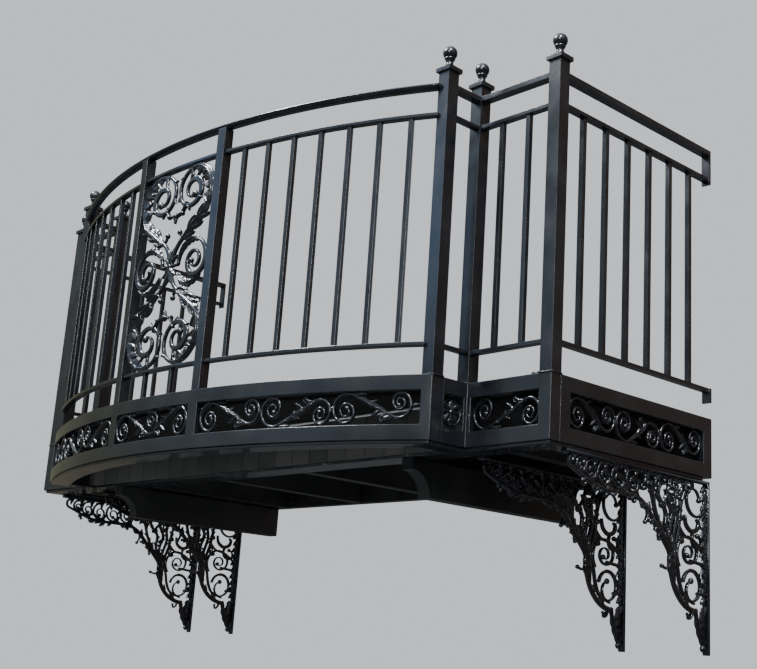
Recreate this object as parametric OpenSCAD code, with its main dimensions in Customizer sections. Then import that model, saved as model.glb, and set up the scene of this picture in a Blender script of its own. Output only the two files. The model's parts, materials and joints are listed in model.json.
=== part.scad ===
// Ornamental iron balcony: a bow-fronted railing on a scroll-filled fascia,
// carried by a wall ledger, two cantilever beams and four cast brackets.
// X runs along the wall, Y into the wall and Z up.
// The origin is the middle of the ledger's back face.

/* [Plan] */
// Half of the overall width, to the outer face of a side fascia
half_w = 1412; // [1250:2:1600]
// Depth from the wall to the face of the straight front runs
front_d = 814; // [700:2:950]
// Width of a straight front run, from a side's face to a return's face
front_run_w = 324; // [300:2:360]
// How far the returns step out from the straight front runs
step_d = 150; // [130:5:200]
// Rise of the bow beyond the ends of the returns
bow_rise = 256; // [200:2:320]

/* [Fascia] */
// Height of the fascia
fascia_h = 194; // [170:2:240]
// Height of the fascia's upper and lower bands
band_h = 46; // [35:1:55]
// Depth of the fascia frames, outer face to inner face
fascia_t = 45; // [38:1:55]
// Width of the stiles that divide the fascia
stile_w = 45; // [30:1:55]
// Width of the stile at each end of the bow
end_stile_w = 30; // [20:1:45]
// Thickness of the flat ring under the fascia
rim_t = 10; // [6:1:14]
// Width of the flat ring under the fascia
rim_w = 75; // [60:5:95]
// How far the flat ring is set back from the fascia's face
rim_inset = 8; // [4:1:14]

/* [Floor] */
// Height of the wall ledger
ledger_h = 152; // [140:2:180]
// Thickness of the wall ledger
ledger_t = 38; // [30:1:50]
// Depth of the straight header behind the bow, front to back
header_d = 100; // [80:5:120]
// Thickness of the deck
deck_t = 38; // [20:1:40]
// Thickness of a joist
joist_t = 45; // [38:1:60]
// Number of joists
joist_n = 6; // [4:1:8]
// Distance from a side's face to the middle of the outer joist
joist_inset = 212; // [150:2:260]
// Clear gap between the deck's edge and the fascia frames
deck_gap = 3; // [2:1:8]

/* [Cantilever beams] */
// Distance from a return's face to the middle of the beam beside it
beam_side = 258; // [200:2:320]
// Width of a beam
beam_w = 50; // [40:1:70]
// Height of a beam
beam_h = 116; // [100:1:160]
// Radius of the cove cut into the lower front corner of a beam
beam_cove_r = 80; // [50:1:100]
// How far a beam's end is set back from the face of the front runs
beam_inset = 16; // [10:1:40]

/* [Bolts] */
// Diameter of the holes in the ledger
bolt_hole_d = 14; // [10:1:18]
// Height between the two holes of a pair
bolt_pair_h = 98; // [80:2:110]
// Distance of the second pairs of holes from the middle
bolt_x2 = 660; // [400:5:700]
// Distance of the outer pairs of holes from the middle
bolt_x3 = 1090; // [900:5:1150]

/* [Railing] */
// Height of the top rail's top above the fascia
rail_top_h = 935; // [880:5:1000]
// Clear gap between the top rail and the second rail
rail_gap = 82; // [60:2:110]
// Height of the bottom rail's top above the fascia
rail_low_h = 101; // [90:1:140]
// Width of the top rail
cap_rail_w = 32; // [28:1:48]
// Height of the top rail
cap_rail_h = 17; // [12:1:30]
// Width of the other rails
rail_w = 25; // [20:1:32]
// Height of the other rails
rail_h = 12; // [10:1:25]
// Distance of the bow's rails from the fascia's face, to their centre
bow_rail_inset = 20; // [16:1:28]
// Width of a baluster
bal_w = 16; // [12:1:20]
// Number of balusters in a bow bay
bow_bals = 7; // [5:1:9]
// Number of balusters in a side panel
side_bals = 6; // [4:1:8]
// Number of balusters in a front panel
front_bals = 2; // [1:1:3]
// Number of short balusters under the scroll panel
short_bals = 2; // [1:1:4]
// Distance of a mullion's centre from the middle
mullion_x = 237; // [200:1:260]
// Width of a mullion
mullion_w = 38; // [30:1:45]
// Thickness of the plates at the wall
end_plate_t = 8; // [6:1:12]

/* [Posts] */
// Width of a post
post_w = 45; // [40:1:60]
// How far the posts are set back from the fascia's face
post_inset = 0; // [0:1:8]
// Height of a post's top above the fascia
post_h = 974; // [950:2:1020]
// Width of a post's cap
cap_w = 60; // [52:1:72]
// Thickness of a cap's edge
cap_edge_h = 14; // [8:1:18]
// Height of a cap's sloping top
cap_slope_h = 14; // [8:1:20]
// Diameter of the ball on a cap
ball_d = 44; // [36:1:60]
// Diameter of the neck under the ball
neck_d = 17; // [14:1:28]
// Height of the neck
neck_h = 20; // [14:1:30]
// Diameter of the cup that holds the ball
cup_d = 34; // [28:1:40]

/* [Scroll castings] */
// Width of a scroll's strap where it is widest
strap_w = 9; // [7:0.5:12]
// Width of a scroll's strap at its inner end
strap_tip_w = 5; // [4:0.5:7]
// Thickness of a casting, front to back
cast_t = 16; // [12:1:22]
// Radius of the boss in the eye of a scroll
eye_r = 8; // [5:0.5:10]
// Depth ground off a scroll where it meets its frame
cast_bite = 0.4; // [0.2:0.1:1]
// Distance of a casting's middle from the fascia's face
cast_set = 16; // [12:1:24]
// Clear gap between the scrolls of a run
scroll_gap = 2; // [1:0.5:6]

/* [Brackets] */
// Reach of a bracket from the wall
bracket_reach = 725; // [650:5:780]
// Height of a bracket, from its top bar to its foot
bracket_h = 540; // [480:5:600]
// Width of a bracket's bars
bracket_t = 24; // [18:1:32]
// Thickness of a bracket's top and wall bars
bracket_bar = 10; // [8:1:14]
// How far a bracket is set back from the fascia's face beside it
bracket_inset = 7; // [0:1:12]

/* [Hidden] */
$fa = 2;
$fs = 1.5;
eps = 0.01;
// Sides of the polygons that stand for the bow's large circles
bow_facets = 360;
ink = [0.07, 0.075, 0.085];
// How far a strap starts inside the one before it, and how much narrower it is
strap_lap = 1;
strap_step = 0.3;
// How far a baluster runs into a rail
tenon = 6;
// How much each half turn of a spiral shrinks
spiral_k = 0.66;

// Levels
fascia_z = rim_t - ledger_h / 2;
rim_z = fascia_z - rim_t;
deck_z = ledger_h / 2;
base_z = fascia_z + fascia_h;
rail_mid_h = rail_top_h - cap_rail_h - rail_gap;
slot_h = fascia_h - 2 * band_h;
scroll_z = fascia_z + fascia_h / 2;

// Half of the bow's width, to the outer face of a return
bow_half = half_w - front_run_w;
beam_x = bow_half - beam_side;
// The bow is an arc through the ends of the returns
bow_d = front_d + step_d;
bow_r = (bow_half * bow_half + bow_rise * bow_rise) / (2 * bow_rise);
bow_y = bow_r - bow_rise - bow_d;
bow_in_r = bow_r - fascia_t;
rail_r = bow_r - bow_rail_inset;
post_x = half_w - post_inset - post_w / 2;
post_y = -(front_d - post_inset - post_w / 2);
step_x = bow_half - post_inset - post_w / 2;
step_y = -(bow_d - post_inset - post_w / 2);
post_a = asin(step_x / rail_r);
// Centre lines of the straight rails, which lie flush with the fascia
run_x = half_w - cap_rail_w / 2;
run_y = -(front_d - cap_rail_w / 2);
return_x = bow_half - cap_rail_w / 2;
bracket_outer_x = half_w - bracket_inset - bracket_t / 2;
bracket_inner_x = bow_half - bracket_inset - bracket_t / 2;
mullion_a = asin(mullion_x / rail_r);
stile_a = asin(mullion_x / bow_r);

// A point on the bow at an angle from its middle
function bow_point(r, a) = [r * sin(a), bow_y - r * cos(a)];
function unit(a) = [cos(a), sin(a)];

// Copies of a right-hand piece on the left
module other_side(left) {
    if (left) mirror([1, 0, 0]) children();
    else children();
}

// A bar that follows the bow between two angles, from an inner radius
module bow_bar(r, w, z, h, a0, a1) {
    translate([0, bow_y, z])
        rotate([0, 0, a0 - 90])
            rotate_extrude(angle = a1 - a0, $fn = bow_facets)
                translate([r, 0])
                    square([w, h]);
}

// Stands a drawing made in X and Y upright, facing away from the wall
module upright(t) {
    rotate([90, 0, 0])
        translate([0, 0, -t / 2])
            linear_extrude(t)
                children();
}

// Sets a child on the bow at an angle, facing along the radius
module on_bow(r, a, z) {
    p = bow_point(r, a);
    translate([p[0], p[1], z])
        rotate([0, 0, a])
            children();
}

// A wedge of up to 180 degrees, from a0 to a1
module wedge(r, a0, a1) {
    steps = 4;
    rim = [for (i = [0:steps]) 2 * r * unit(a0 + (a1 - a0) * i / steps)];
    polygon(concat([[0, 0]], rim));
}

// Half a turn of strap from the angle a0, whose width narrows evenly from w0
// to w1. It starts a little early, inside the wider strap that it grows from
module half_turn(c, r, a0, dir, w0, w1) {
    mean = (w0 + w1) / 4;
    shift = (w0 - w1) / 4;
    lap_a = dir * strap_lap / r * 180 / PI;
    translate(c)
        difference() {
            translate(shift * unit(a0)) circle(r + mean);
            translate(-shift * unit(a0)) circle(r - mean);
            wedge(r, a0 + dir * 180, a0 + dir * 360 - lap_a);
        }
}

// A part turn of strap of even width
module part_turn(c, r, a0, a1, w) {
    translate(c)
        intersection() {
            difference() {
                circle(r + w / 2);
                circle(r - w / 2);
            }
            wedge(r, a0, a1);
        }
}

// A straight strap between two points
module strap(p, q, w) {
    d = q - p;
    translate(p)
        rotate(atan2(d[1], d[0]))
            translate([0, -w / 2])
                square([norm(d), w]);
}

// A spiral that winds inward by half turns, with a boss in its eye.
// dir is 1 for anticlockwise and -1 for clockwise
module spiral(c, r, a0, dir, w0, turns = 4, i = 0, w_tip = strap_tip_w) {
    fall = r * (1 - spiral_k);
    drop = (w0 - w_tip) / (turns - i);
    w1 = w0 - drop + strap_step;
    half_turn(c, r, a0, dir, w0, w1);
    if (i + 1 < turns)
        spiral(c + fall * unit(a0 + 180), r - fall, a0 + 180, dir, w1 - strap_step, turns, i + 1, w_tip);
    else
        translate(c + (r - eye_r * 0.6) * unit(a0 + 180)) circle(eye_r);
}

// A chain of strokes from p that starts in the direction a. Each stroke is a
// radius or length, a turn in degrees (0 for a straight) and a width
module stroke(p, a, strokes, i = 0) {
    size = strokes[i][0];
    turn = strokes[i][1];
    w = strokes[i][2] + strap_step * (i % 2);
    side = sign(turn);
    c = p + size * unit(a + side * 90);
    lap_a = side * strap_lap / size * 180 / PI;
    a1 = a - side * 90;
    q = turn == 0 ? p + size * unit(a) : c + size * unit(a1 + turn);
    if (turn == 0)
        strap(p - strap_lap * unit(a), q, w);
    else
        part_turn(c, size, min(a1 - lap_a, a1 + turn), max(a1 - lap_a, a1 + turn), w);
    if (i + 1 < len(strokes))
        stroke(q, a + turn, strokes, i + 1);
}

// A lens-shaped leaf from p to q, with its belly b wide
module leaf(p, q, b) {
    d = q - p;
    l = norm(d);
    r = (l * l / 4 + b * b / 4) / b;
    translate(p)
        rotate(atan2(d[1], d[0]))
            translate([l / 2, 0])
                intersection() {
                    translate([0, r - b / 2]) circle(r);
                    translate([0, b / 2 - r]) circle(r);
                }
}

// The big radius of a fascia scroll, to its centreline, and the small one
slot_r = (slot_h - strap_w) / 2 + cast_bite;
small_r = slot_r * 0.84;
collar_r = eye_r * 1.5;
// Room from the centre of a small spiral to the centre of the next big one
next_gap = slot_r + small_r + strap_w + scroll_gap;

// The angle at which a strap leaves one circle to cross over to another
function cross_a(c1, r1, c2, r2) =
    atan2(c2[1] - c1[1], c2[0] - c1[0]) + acos((r1 + r2) / norm(c2 - c1));

// The strap from a big spiral at the origin down to a small one to its right,
// which sits at the top of the slot, with a leaf at either end
module s_stem(gap, w) {
    c = [gap, slot_r - small_r];
    a = cross_a([0, 0], slot_r, c, small_r);
    p = slot_r * unit(a);
    q = c + small_r * unit(a + 180);
    edge = slot_h / 2 - w;
    strap(p, q, w + strap_step);
    leaf(p, [p[0] + gap / 4, edge], w * 1.8);
    leaf(q, [q[0] - gap / 4, -edge], w * 1.8);
    spiral([0, 0], slot_r, a, 1, w);
}

// An S scroll: the stem, its big spiral and the small one
module s_scroll(gap, w) {
    c = [gap, slot_r - small_r];
    s_stem(gap, w);
    spiral(c, small_r, cross_a([0, 0], slot_r, c, small_r) + 180, 1, w);
}

// Trims a casting to the height of its slot, which grinds small flats where
// it meets the bands
module in_slot() {
    upright(cast_t)
        intersection() {
            children();
            translate([-half_w / 2, -slot_h / 2]) square([half_w, slot_h]);
        }
}

// A collar that joins two scrolls, drawn as a disc
module collar() {
    circle(collar_r);
}

// The ledger on the wall, drilled in pairs
module ledger() color(ink) {
    l = 2 * (half_w - fascia_t - deck_gap);
    difference() {
        translate([-l / 2, -ledger_t, -ledger_h / 2])
            cube([l, ledger_t, ledger_h]);
        for (x = [-bolt_x3, -bolt_x2, 0, bolt_x2, bolt_x3])
            for (z = [-bolt_pair_h / 2, bolt_pair_h / 2])
                translate([x, eps, z])
                    rotate([90, 0, 0])
                        cylinder(h = ledger_t + 2 * eps, d = bolt_hole_d);
    }
}

// A cantilever beam under the ledger and header, with a cove in its lower front corner
module beam() color(ink) {
    l = front_d - beam_inset;
    translate([beam_x + beam_w / 2, 0, rim_z])
        rotate([90, 0, -90])
            linear_extrude(beam_w)
                difference() {
                    translate([0, -beam_h]) square([l, beam_h]);
                    translate([l, -beam_h]) circle(beam_cove_r);
                }
}

// The straight member across the back of the bow
module header() color(ink) {
    w = bow_half - fascia_t;
    translate([-w, -front_d, fascia_z])
        cube([2 * w, header_d, deck_z - fascia_z]);
}

module joists() color(ink) {
    l = front_d - header_d - ledger_t;
    edge = half_w - joist_inset;
    pitch = 2 * edge / (joist_n - 1);
    for (i = [0:joist_n - 1])
        translate([i * pitch - edge - joist_t / 2, -ledger_t - l, rim_z])
            cube([joist_t, l, deck_z - rim_z]);
}

// The plan of the balcony, pulled in by an inset
module plan(inset) {
    union() {
        translate([-half_w + inset, -front_d + inset])
            square([2 * (half_w - inset), front_d - inset]);
        intersection() {
            translate([-bow_half + inset, -bow_d - bow_rise])
                square([2 * (bow_half - inset), bow_d + bow_rise - front_d / 2]);
            translate([0, bow_y]) circle(bow_r - inset, $fn = bow_facets);
        }
    }
}

module deck() color([0.16, 0.15, 0.14]) {
    translate([0, 0, deck_z])
        linear_extrude(deck_t)
            plan(fascia_t + deck_gap);
}

// The flat ring under the fascia, between two distances from the wall
module rim(y0, y1) {
    translate([0, 0, rim_z])
        linear_extrude(rim_t)
            intersection() {
                difference() {
                    plan(rim_inset);
                    plan(rim_inset + rim_w);
                }
                translate([-half_w, -y1]) square([2 * half_w, y1 - y0]);
            }
}

// The ring under the bow and its returns
module rim_bow() color(ink) {
    rim(front_d - rim_inset, bow_d + bow_rise);
}

// The strip under the header and the straight front runs
module rim_front() color(ink) {
    w = half_w - rim_inset;
    translate([-w, -front_d + rim_inset, rim_z])
        cube([2 * w, header_d - rim_inset, rim_t]);
}

module rim_sides() color(ink) {
    rim(ledger_t, front_d - header_d);
}

// A straight fascia frame along X from x0 to x1, its face at y = 0
module frame_run(l, stile_l, stile_r) {
    difference() {
        cube([l, fascia_t, fascia_h]);
        translate([stile_l, -1, band_h])
            cube([l - stile_l - stile_r, fascia_t + 2, slot_h]);
    }
}

// Angle at which the bow's last slot ends, clear of the return
slot_end_a = asin((bow_half - end_stile_w) / bow_r);
stile_half_a = asin(stile_w / 2 / bow_r);

module fascia_bow() color(ink) {
    difference() {
        translate([0, 0, fascia_z])
            linear_extrude(fascia_h)
                intersection() {
                    translate([0, bow_y])
                        difference() {
                            circle(bow_r, $fn = bow_facets);
                            circle(bow_in_r, $fn = bow_facets);
                        }
                    translate([-bow_half, -bow_d - bow_rise - 1])
                        square([2 * bow_half, bow_d]);
                }
        slot_a = stile_a - stile_half_a;
        side_a = stile_a + stile_half_a;
        for (span = [[-slot_end_a, -side_a], [-slot_a, slot_a], [side_a, slot_end_a]])
            translate([0, bow_y, fascia_z + band_h])
                linear_extrude(slot_h)
                    wedge(bow_r, span[0] - 90, span[1] - 90);
    }
}

front_l = half_w - bow_half + fascia_t;
return_l = step_d;
// Widths of a return's stiles, at the bow and at the front run
return_stile_l = fascia_t + stile_w / 4;
return_stile_r = stile_w / 4;
// Width of a front run's stile at the return
front_stile_l = fascia_t + stile_w / 3;
// The return runs from the face of the front run to the back of the bow
module fascia_step() color(ink) {
    translate([bow_half - fascia_t, -front_d, fascia_z])
        frame_run(front_l, front_stile_l, stile_w);
    intersection() {
        translate([bow_half, -front_d - return_l, fascia_z])
            rotate([0, 0, 90])
                frame_run(return_l, return_stile_l, return_stile_r);
        translate([0, bow_y, fascia_z - 1])
            cylinder(h = fascia_h + 2, r = bow_in_r, $fn = bow_facets);
    }
}

side_l = front_d - fascia_t;
module fascia_side() color(ink) {
    translate([half_w, -side_l, fascia_z])
        rotate([0, 0, 90])
            frame_run(side_l, stile_w, stile_w);
}

// Scrolls in the middle bay of the bow: two big spirals whose stems fall to
// one small spiral in the middle
module scrolls_bow_centre() color(ink) {
    half = bow_r * (stile_a - stile_half_a) * PI / 180;
    gap = half - slot_r - strap_w / 2 - scroll_gap;
    on_bow(bow_r - cast_set, 0, scroll_z)
        in_slot() {
            translate([-gap, 0]) s_scroll(gap, strap_w);
            mirror([1, 0]) translate([-gap, 0]) s_stem(gap, strap_w);
        }
}

// A run of n S scrolls in a slot l long, turned over by turns and joined by
// collars. lead and tail are the room left for the leaves at its ends
function run_pitch(l, n, lead, tail) = (l - lead - tail + scroll_gap) / n;
// The angle that an arc of length l spans at a radius
function arc_a(r, l) = l / r * 180 / PI;
module run_scroll(i, gap) {
    mirror([0, i % 2])
        translate([-gap / 2, 0])
            s_scroll(gap, strap_w);
}

// The room at the ends of a bow bay's run
bow_lead = 9;
bow_tail = 26;
module bow_scrolls() color(ink) {
    n = 3;
    r = bow_r - cast_set;
    a0 = stile_a + stile_half_a;
    l = (slot_end_a - a0) * PI / 180 * r;
    pitch = run_pitch(l, n, bow_lead, bow_tail);
    gap = pitch - next_gap;
    start = bow_lead + slot_r + strap_w / 2;
    for (i = [0:n - 1])
        on_bow(r, a0 + arc_a(r, start + i * pitch + gap / 2), scroll_z)
            in_slot()
                run_scroll(i, gap);
    for (i = [1:n - 1])
        on_bow(r, a0 + arc_a(r, start + i * pitch - slot_r - strap_w / 2), scroll_z)
            in_slot()
                collar();
    // Leaves that fill the ends of the run
    on_bow(r, a0 + arc_a(r, start), scroll_z)
        in_slot()
            leaf(slot_r * unit(150), [-slot_r - strap_w / 2 - bow_lead, slot_r * 0.75], strap_w * 1.6);
    on_bow(r, a0 + arc_a(r, l - bow_tail), scroll_z)
        in_slot()
            leaf([-strap_w, 0], [bow_tail, strap_w], strap_w * 1.6);
}

// A round flower in the opening of a return
module rosette() color(ink) {
    l = return_l - return_stile_l - return_stile_r;
    ring_r = l / 2 - strap_tip_w / 2 + cast_bite;
    translate([bow_half - cast_set, -front_d - return_stile_r - l / 2, scroll_z])
        rotate([0, 0, 90])
            upright(cast_t)
                intersection() {
                    union() {
                        difference() {
                            circle(ring_r + strap_tip_w / 2);
                            circle(ring_r - strap_tip_w / 2);
                        }
                        for (a = [0:45:315])
                            leaf([0, 0], ring_r * unit(a), ring_r * 0.55);
                        circle(eye_r);
                    }
                    square([l, slot_h], center = true);
                }
}

module front_scrolls() color(ink) {
    l = front_l - front_stile_l - stile_w;
    gap = l - slot_r - small_r - strap_w - 2 * scroll_gap;
    translate([bow_half - fascia_t + front_stile_l + l / 2 + (slot_r - small_r) / 2, -front_d + cast_set, scroll_z])
        in_slot()
            run_scroll(1, gap);
}

module side_scrolls() color(ink) {
    n = 3;
    l = side_l - 2 * stile_w;
    pitch = run_pitch(l, n, scroll_gap, scroll_gap);
    gap = pitch - next_gap;
    start = scroll_gap + slot_r + strap_w / 2 - l / 2;
    translate([half_w - cast_set, -side_l / 2, scroll_z])
        rotate([0, 0, 90])
            in_slot() {
                for (i = [0:n - 1])
                    translate([start + i * pitch + gap / 2, 0])
                        run_scroll(i, gap);
                for (i = [1:n - 1])
                    translate([start + i * pitch - slot_r - strap_w / 2, 0])
                        collar();
            }
}

// The outline of a post's cap, seen from any side
module cap_side() {
    top = neck_d * 0.7;
    polygon([[-cap_w / 2, 0], [cap_w / 2, 0], [cap_w / 2, cap_edge_h], [top, cap_edge_h + cap_slope_h],
             [-top, cap_edge_h + cap_slope_h], [-cap_w / 2, cap_edge_h]]);
}

// Half of the outline of the neck, the cup and the ball on a post
module finial() {
    z = cap_slope_h + neck_h;
    square([neck_d / 2, z]);
    translate([0, z - neck_h * 2 / 3])
        polygon([[0, 0], [neck_d / 2, 0], [cup_d / 2, neck_h * 2 / 3 + ball_d / 8], [0, neck_h * 2 / 3 + ball_d / 8]]);
    intersection() {
        translate([0, z + ball_d / 2]) circle(d = ball_d);
        square([ball_d, z + 2 * ball_d]);
    }
}

// A post with a pyramid cap, a neck and a ball, at x and y
module post(x, y) color(ink) {
    translate([x, y, base_z]) {
        translate([-post_w / 2, -post_w / 2, 0])
            cube([post_w, post_w, post_h]);
        translate([0, 0, post_h])
            intersection() {
                upright(cap_w) cap_side();
                rotate([0, 0, 90]) upright(cap_w) cap_side();
            }
        translate([0, 0, post_h + cap_edge_h])
            rotate_extrude() finial();
    }
}

// A square bar between two heights above the fascia, run into the rails
module baluster(h0, h1) {
    translate([-bal_w / 2, -bal_w / 2, base_z + h0 - tenon])
        cube([bal_w, bal_w, h1 - h0 + 2 * tenon]);
}

module mullions() color(ink) {
    for (a = [-mullion_a, mullion_a])
        on_bow(rail_r, a, base_z)
            translate([-mullion_w / 2, -mullion_w / 2, 0])
                cube([mullion_w, mullion_w, rail_top_h - cap_rail_h]);
}

// A rail of the bow between two angles, ground to fit a post where it runs
// past the post's inner face
module post_rail(w, top, h, a0, a1) {
    inner = step_x - post_w / 2;
    difference() {
        bow_bar(rail_r - w / 2, w, base_z + top - h, h, a0, a1);
        for (s = [-1, 1])
            translate([s > 0 ? inner : -inner - step_d, -bow_d + post_inset, base_z + top - h - 1])
                cube([step_d, front_d, h + 2]);
    }
}

module top_rail_bow() color(ink) {
    post_rail(cap_rail_w, rail_top_h, cap_rail_h, -slot_end_a, slot_end_a);
}

// The second and bottom rails of a bow bay and the balusters between them
module bow_panel() color(ink) {
    a0 = mullion_a + asin(mullion_w / 2 / rail_r);
    for (h = [rail_mid_h, rail_low_h])
        post_rail(rail_w, h, rail_h, a0, slot_end_a);
    step_a = (post_a - mullion_a) / (bow_bals + 1);
    for (i = [1:bow_bals])
        on_bow(rail_r, mullion_a + i * step_a, 0)
            baluster(rail_low_h, rail_mid_h - rail_h);
}

// The rails above and below the scroll panel, with short balusters below
module centre_rails() color(ink) {
    a = mullion_a - asin(mullion_w / 2 / rail_r);
    for (h = [rail_mid_h, rail_low_h])
        bow_bar(rail_r - rail_w / 2, rail_w, base_z + h - rail_h, rail_h, -a, a);
    step_a = 2 * mullion_a / (short_bals + 1);
    for (i = [1:short_bals])
        on_bow(rail_r, -mullion_a + i * step_a, 0)
            baluster(tenon, rail_low_h - rail_h);
}

// The scroll panel: spirals in its corners, stems that run from them to touch
// at the waist, and two spirals at the sides
panel_w = 2 * mullion_x - mullion_w;
panel_h = rail_mid_h - rail_h - rail_low_h;
panel_strap = strap_w * 1.7;
// Radii of the corner spirals, of the stems' bends at the waist and of the
// side spirals, and the reach of a corner's leaves
corner_r = panel_w * 0.24;
waist_r = panel_w * 0.255;
flank_r = panel_w * 0.183;
corner_leaf = panel_w * 0.075;
module panel_quarter() {
    c = [panel_w / 2 - corner_r - panel_strap / 2 - scroll_gap,
         panel_h / 2 - corner_r - panel_strap / 2 + cast_bite];
    k = [panel_strap / 2 - strap_lap / 2 + waist_r, 0];
    a = cross_a(k, waist_r, c, corner_r);
    p = k + waist_r * unit(a);
    q = c + corner_r * unit(a + 180);
    spiral(c, corner_r, a + 180, 1, panel_strap, 4);
    strap(p, q, panel_strap + strap_step);
    part_turn(k, waist_r, a - 1, 180.5, panel_strap);
    for (b = [-25:35:80])
        leaf(c + corner_r * unit(b), c + (corner_r - corner_leaf) * unit(b + 20), strap_w * 1.8);
    ball = [panel_w * 0.085, panel_h * 0.165];
    strap(p, ball, strap_w);
    translate(ball) circle(eye_r);
}
module scroll_panel() color(ink) {
    flank = [panel_w / 2 - flank_r - panel_strap / 2 - scroll_gap, 0];
    translate([0, bow_y - rail_r, base_z + rail_low_h + panel_h / 2])
        upright(cast_t) intersection() {
            square([panel_w, panel_h], center = true);
            for (m = [0, 1])
                mirror([m, 0]) {
                    for (n = [0, 1])
                        mirror([0, n]) panel_quarter();
                    spiral(flank, flank_r, 180, -1, panel_strap, 4);
                    strap([0, 0], flank - [flank_r, 0], panel_strap);
                }
        }
}

// Straight rails from one post to another, along X from x0 to x1
module rail_x(x0, x1, y, h, w, t) {
    translate([x0, y - w / 2, base_z + h - t])
        cube([x1 - x0, w, t]);
}

module rail_y(y0, y1, x, h, w, t) {
    translate([x - w / 2, y0, base_z + h - t])
        cube([w, y1 - y0, t]);
}

module return_rails() color(ink) {
    y0 = step_y + post_w / 2;
    y1 = post_y - post_w / 2;
    rail_y(y0, y1, return_x, rail_top_h, cap_rail_w, cap_rail_h);
    rail_y(y0, y1, return_x, rail_mid_h, rail_w, rail_h);
    rail_y(y0, y1, return_x, rail_low_h, rail_w, rail_h);
}

module front_panel() color(ink) {
    x0 = step_x + post_w / 2;
    x1 = post_x - post_w / 2;
    rail_x(x0, x1, run_y, rail_top_h, cap_rail_w, cap_rail_h);
    rail_x(x0, x1, run_y, rail_mid_h, rail_w, rail_h);
    rail_x(x0, x1, run_y, rail_low_h, rail_w, rail_h);
    pitch = (post_x - step_x) / (front_bals + 1);
    for (i = [1:front_bals])
        translate([step_x + i * pitch, run_y, 0])
            baluster(rail_low_h, rail_mid_h - rail_h);
}

// The side panel, with plates that fasten its rails to the wall
module side_panel() color(ink) {
    y0 = post_y + post_w / 2;
    rail_y(y0, -end_plate_t, run_x, rail_top_h, cap_rail_w, cap_rail_h);
    rail_y(y0, -end_plate_t, run_x, rail_mid_h, rail_w, rail_h);
    rail_y(y0, -end_plate_t, run_x, rail_low_h, rail_w, rail_h);
    pitch = -post_y / (side_bals + 1);
    for (i = [1:side_bals])
        translate([run_x, post_y + i * pitch, 0])
            baluster(rail_low_h, rail_mid_h - rail_h);
    for (span = [[rail_mid_h - 2 * rail_h, rail_top_h], [rail_low_h - 4 * rail_h, rail_low_h]])
        translate([run_x - cap_rail_w / 2, -end_plate_t, base_z + span[0]])
            cube([cap_rail_w, end_plate_t, span[1] - span[0]]);
}

// A leaf that ends in a small ball
module bud(p, q, w) {
    leaf(p, q, w * 1.6);
    translate(q) circle(w * 0.6);
}

// The scrollwork of a bracket, drawn with the wall at x = 0 and its top at
// y = 0. One strap runs from the foot out to the tip. Its bends and spirals
// grow with the bracket's height, and its level stretch with the reach
module bracket_scrolls() {
    u = bracket_h / 540;
    w = strap_w * 1.3;
    shoulder_x = 408 * u;
    level_l = bracket_reach - shoulder_x - 205 * u;
    stroke(u * [60, -410], 0, [
        [140 * u, 90, w * 1.3], [60 * u, -45, w * 1.2], [140 * u, 0, w * 1.1],
        [130 * u, -45, w], [level_l, 0, w], [300 * u, 20, w * 0.9],
        [75 * u, 0, w * 0.8], [18 * u, 150, w * 0.7]]);
    // The boss at the end of the level stretch
    translate([shoulder_x + level_l, -92 * u]) circle(w * 1.2);
    // Hooks that leave the strap's outer side
    bud(u * [200, -266], u * [244, -298], w);
    bud(u * [318, -124], u * [366, -146], w);
    bud(u * [236, -212], u * [282, -176], w);
    bud(u * [96, -404], u * [96, -436], w);
    // The foot
    leaf(u * [26, -404], u * [24, -520], 46 * u);
    leaf(u * [66, -404], u * [24, -520], 30 * u);
    translate(u * [24, -520]) circle(12 * u);
    // Spirals down the wall side
    spiral(u * [64, -66], 52 * u, 180, 1, w, 3);
    spiral(u * [66, -160], 37 * u, 90, -1, w, 3);
    spiral(u * [112, -242], 57 * u, -40, 1, w, 4);
    strap(u * [8, -266], u * [94, -258], w);
    spiral(u * [92, -342], 44 * u, 60, 1, w, 4);
    strap(u * [8, -356], u * [56, -356], w);
    // Spirals that hang from the top bar, by their share of the way from the
    // shoulder to the tip
    for (k = [[-0.025, 34], [0.2, 34], [0.415, 33], [0.605, 28], [0.76, 21]]) {
        r = k[1] * u;
        y = -(bracket_bar + r + w * 0.4 - cast_bite);
        spiral([shoulder_x + k[0] * (bracket_reach - shoulder_x), y], r, 90, -1, w * 0.8, 3);
    }
    // The sheath of long leaves
    for (x = [120, 170, 220, 270, 325])
        leaf(u * [200, -264], u * [x, -6], w * 2.4);
}

module bracket(x) color(ink) {
    translate([x, 0, rim_z])
        rotate([90, 0, -90]) {
            translate([0, -bracket_bar, -bracket_t / 2])
                cube([bracket_reach, bracket_bar, bracket_t]);
            translate([0, -bracket_h, -bracket_t / 2])
                cube([bracket_bar, bracket_h, bracket_t]);
            translate([0, 0, -cast_t / 2])
                linear_extrude(cast_t)
                    bracket_scrolls();
        }
}

ledger();
other_side(true) beam();  // beam_left
beam();  // beam_right
header();
joists();
deck();
rim_bow();
rim_front();
rim_sides();
fascia_bow();
other_side(true) fascia_step();  // fascia_step_left
fascia_step();  // fascia_step_right
other_side(true) fascia_side();  // fascia_side_left
fascia_side();  // fascia_side_right
scrolls_bow_centre();
other_side(true) bow_scrolls();  // scrolls_bow_left
bow_scrolls();  // scrolls_bow_right
other_side(true) rosette();  // rosette_left
rosette();  // rosette_right
other_side(true) front_scrolls();  // scrolls_front_left
front_scrolls();  // scrolls_front_right
other_side(true) side_scrolls();  // scrolls_side_left
side_scrolls();  // scrolls_side_right
other_side(true) post(post_x, post_y);  // post_corner_left
post(post_x, post_y);  // post_corner_right
other_side(true) post(step_x, post_y);  // post_inner_left
post(step_x, post_y);  // post_inner_right
other_side(true) post(step_x, step_y);  // post_bow_left
post(step_x, step_y);  // post_bow_right
mullions();
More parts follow.
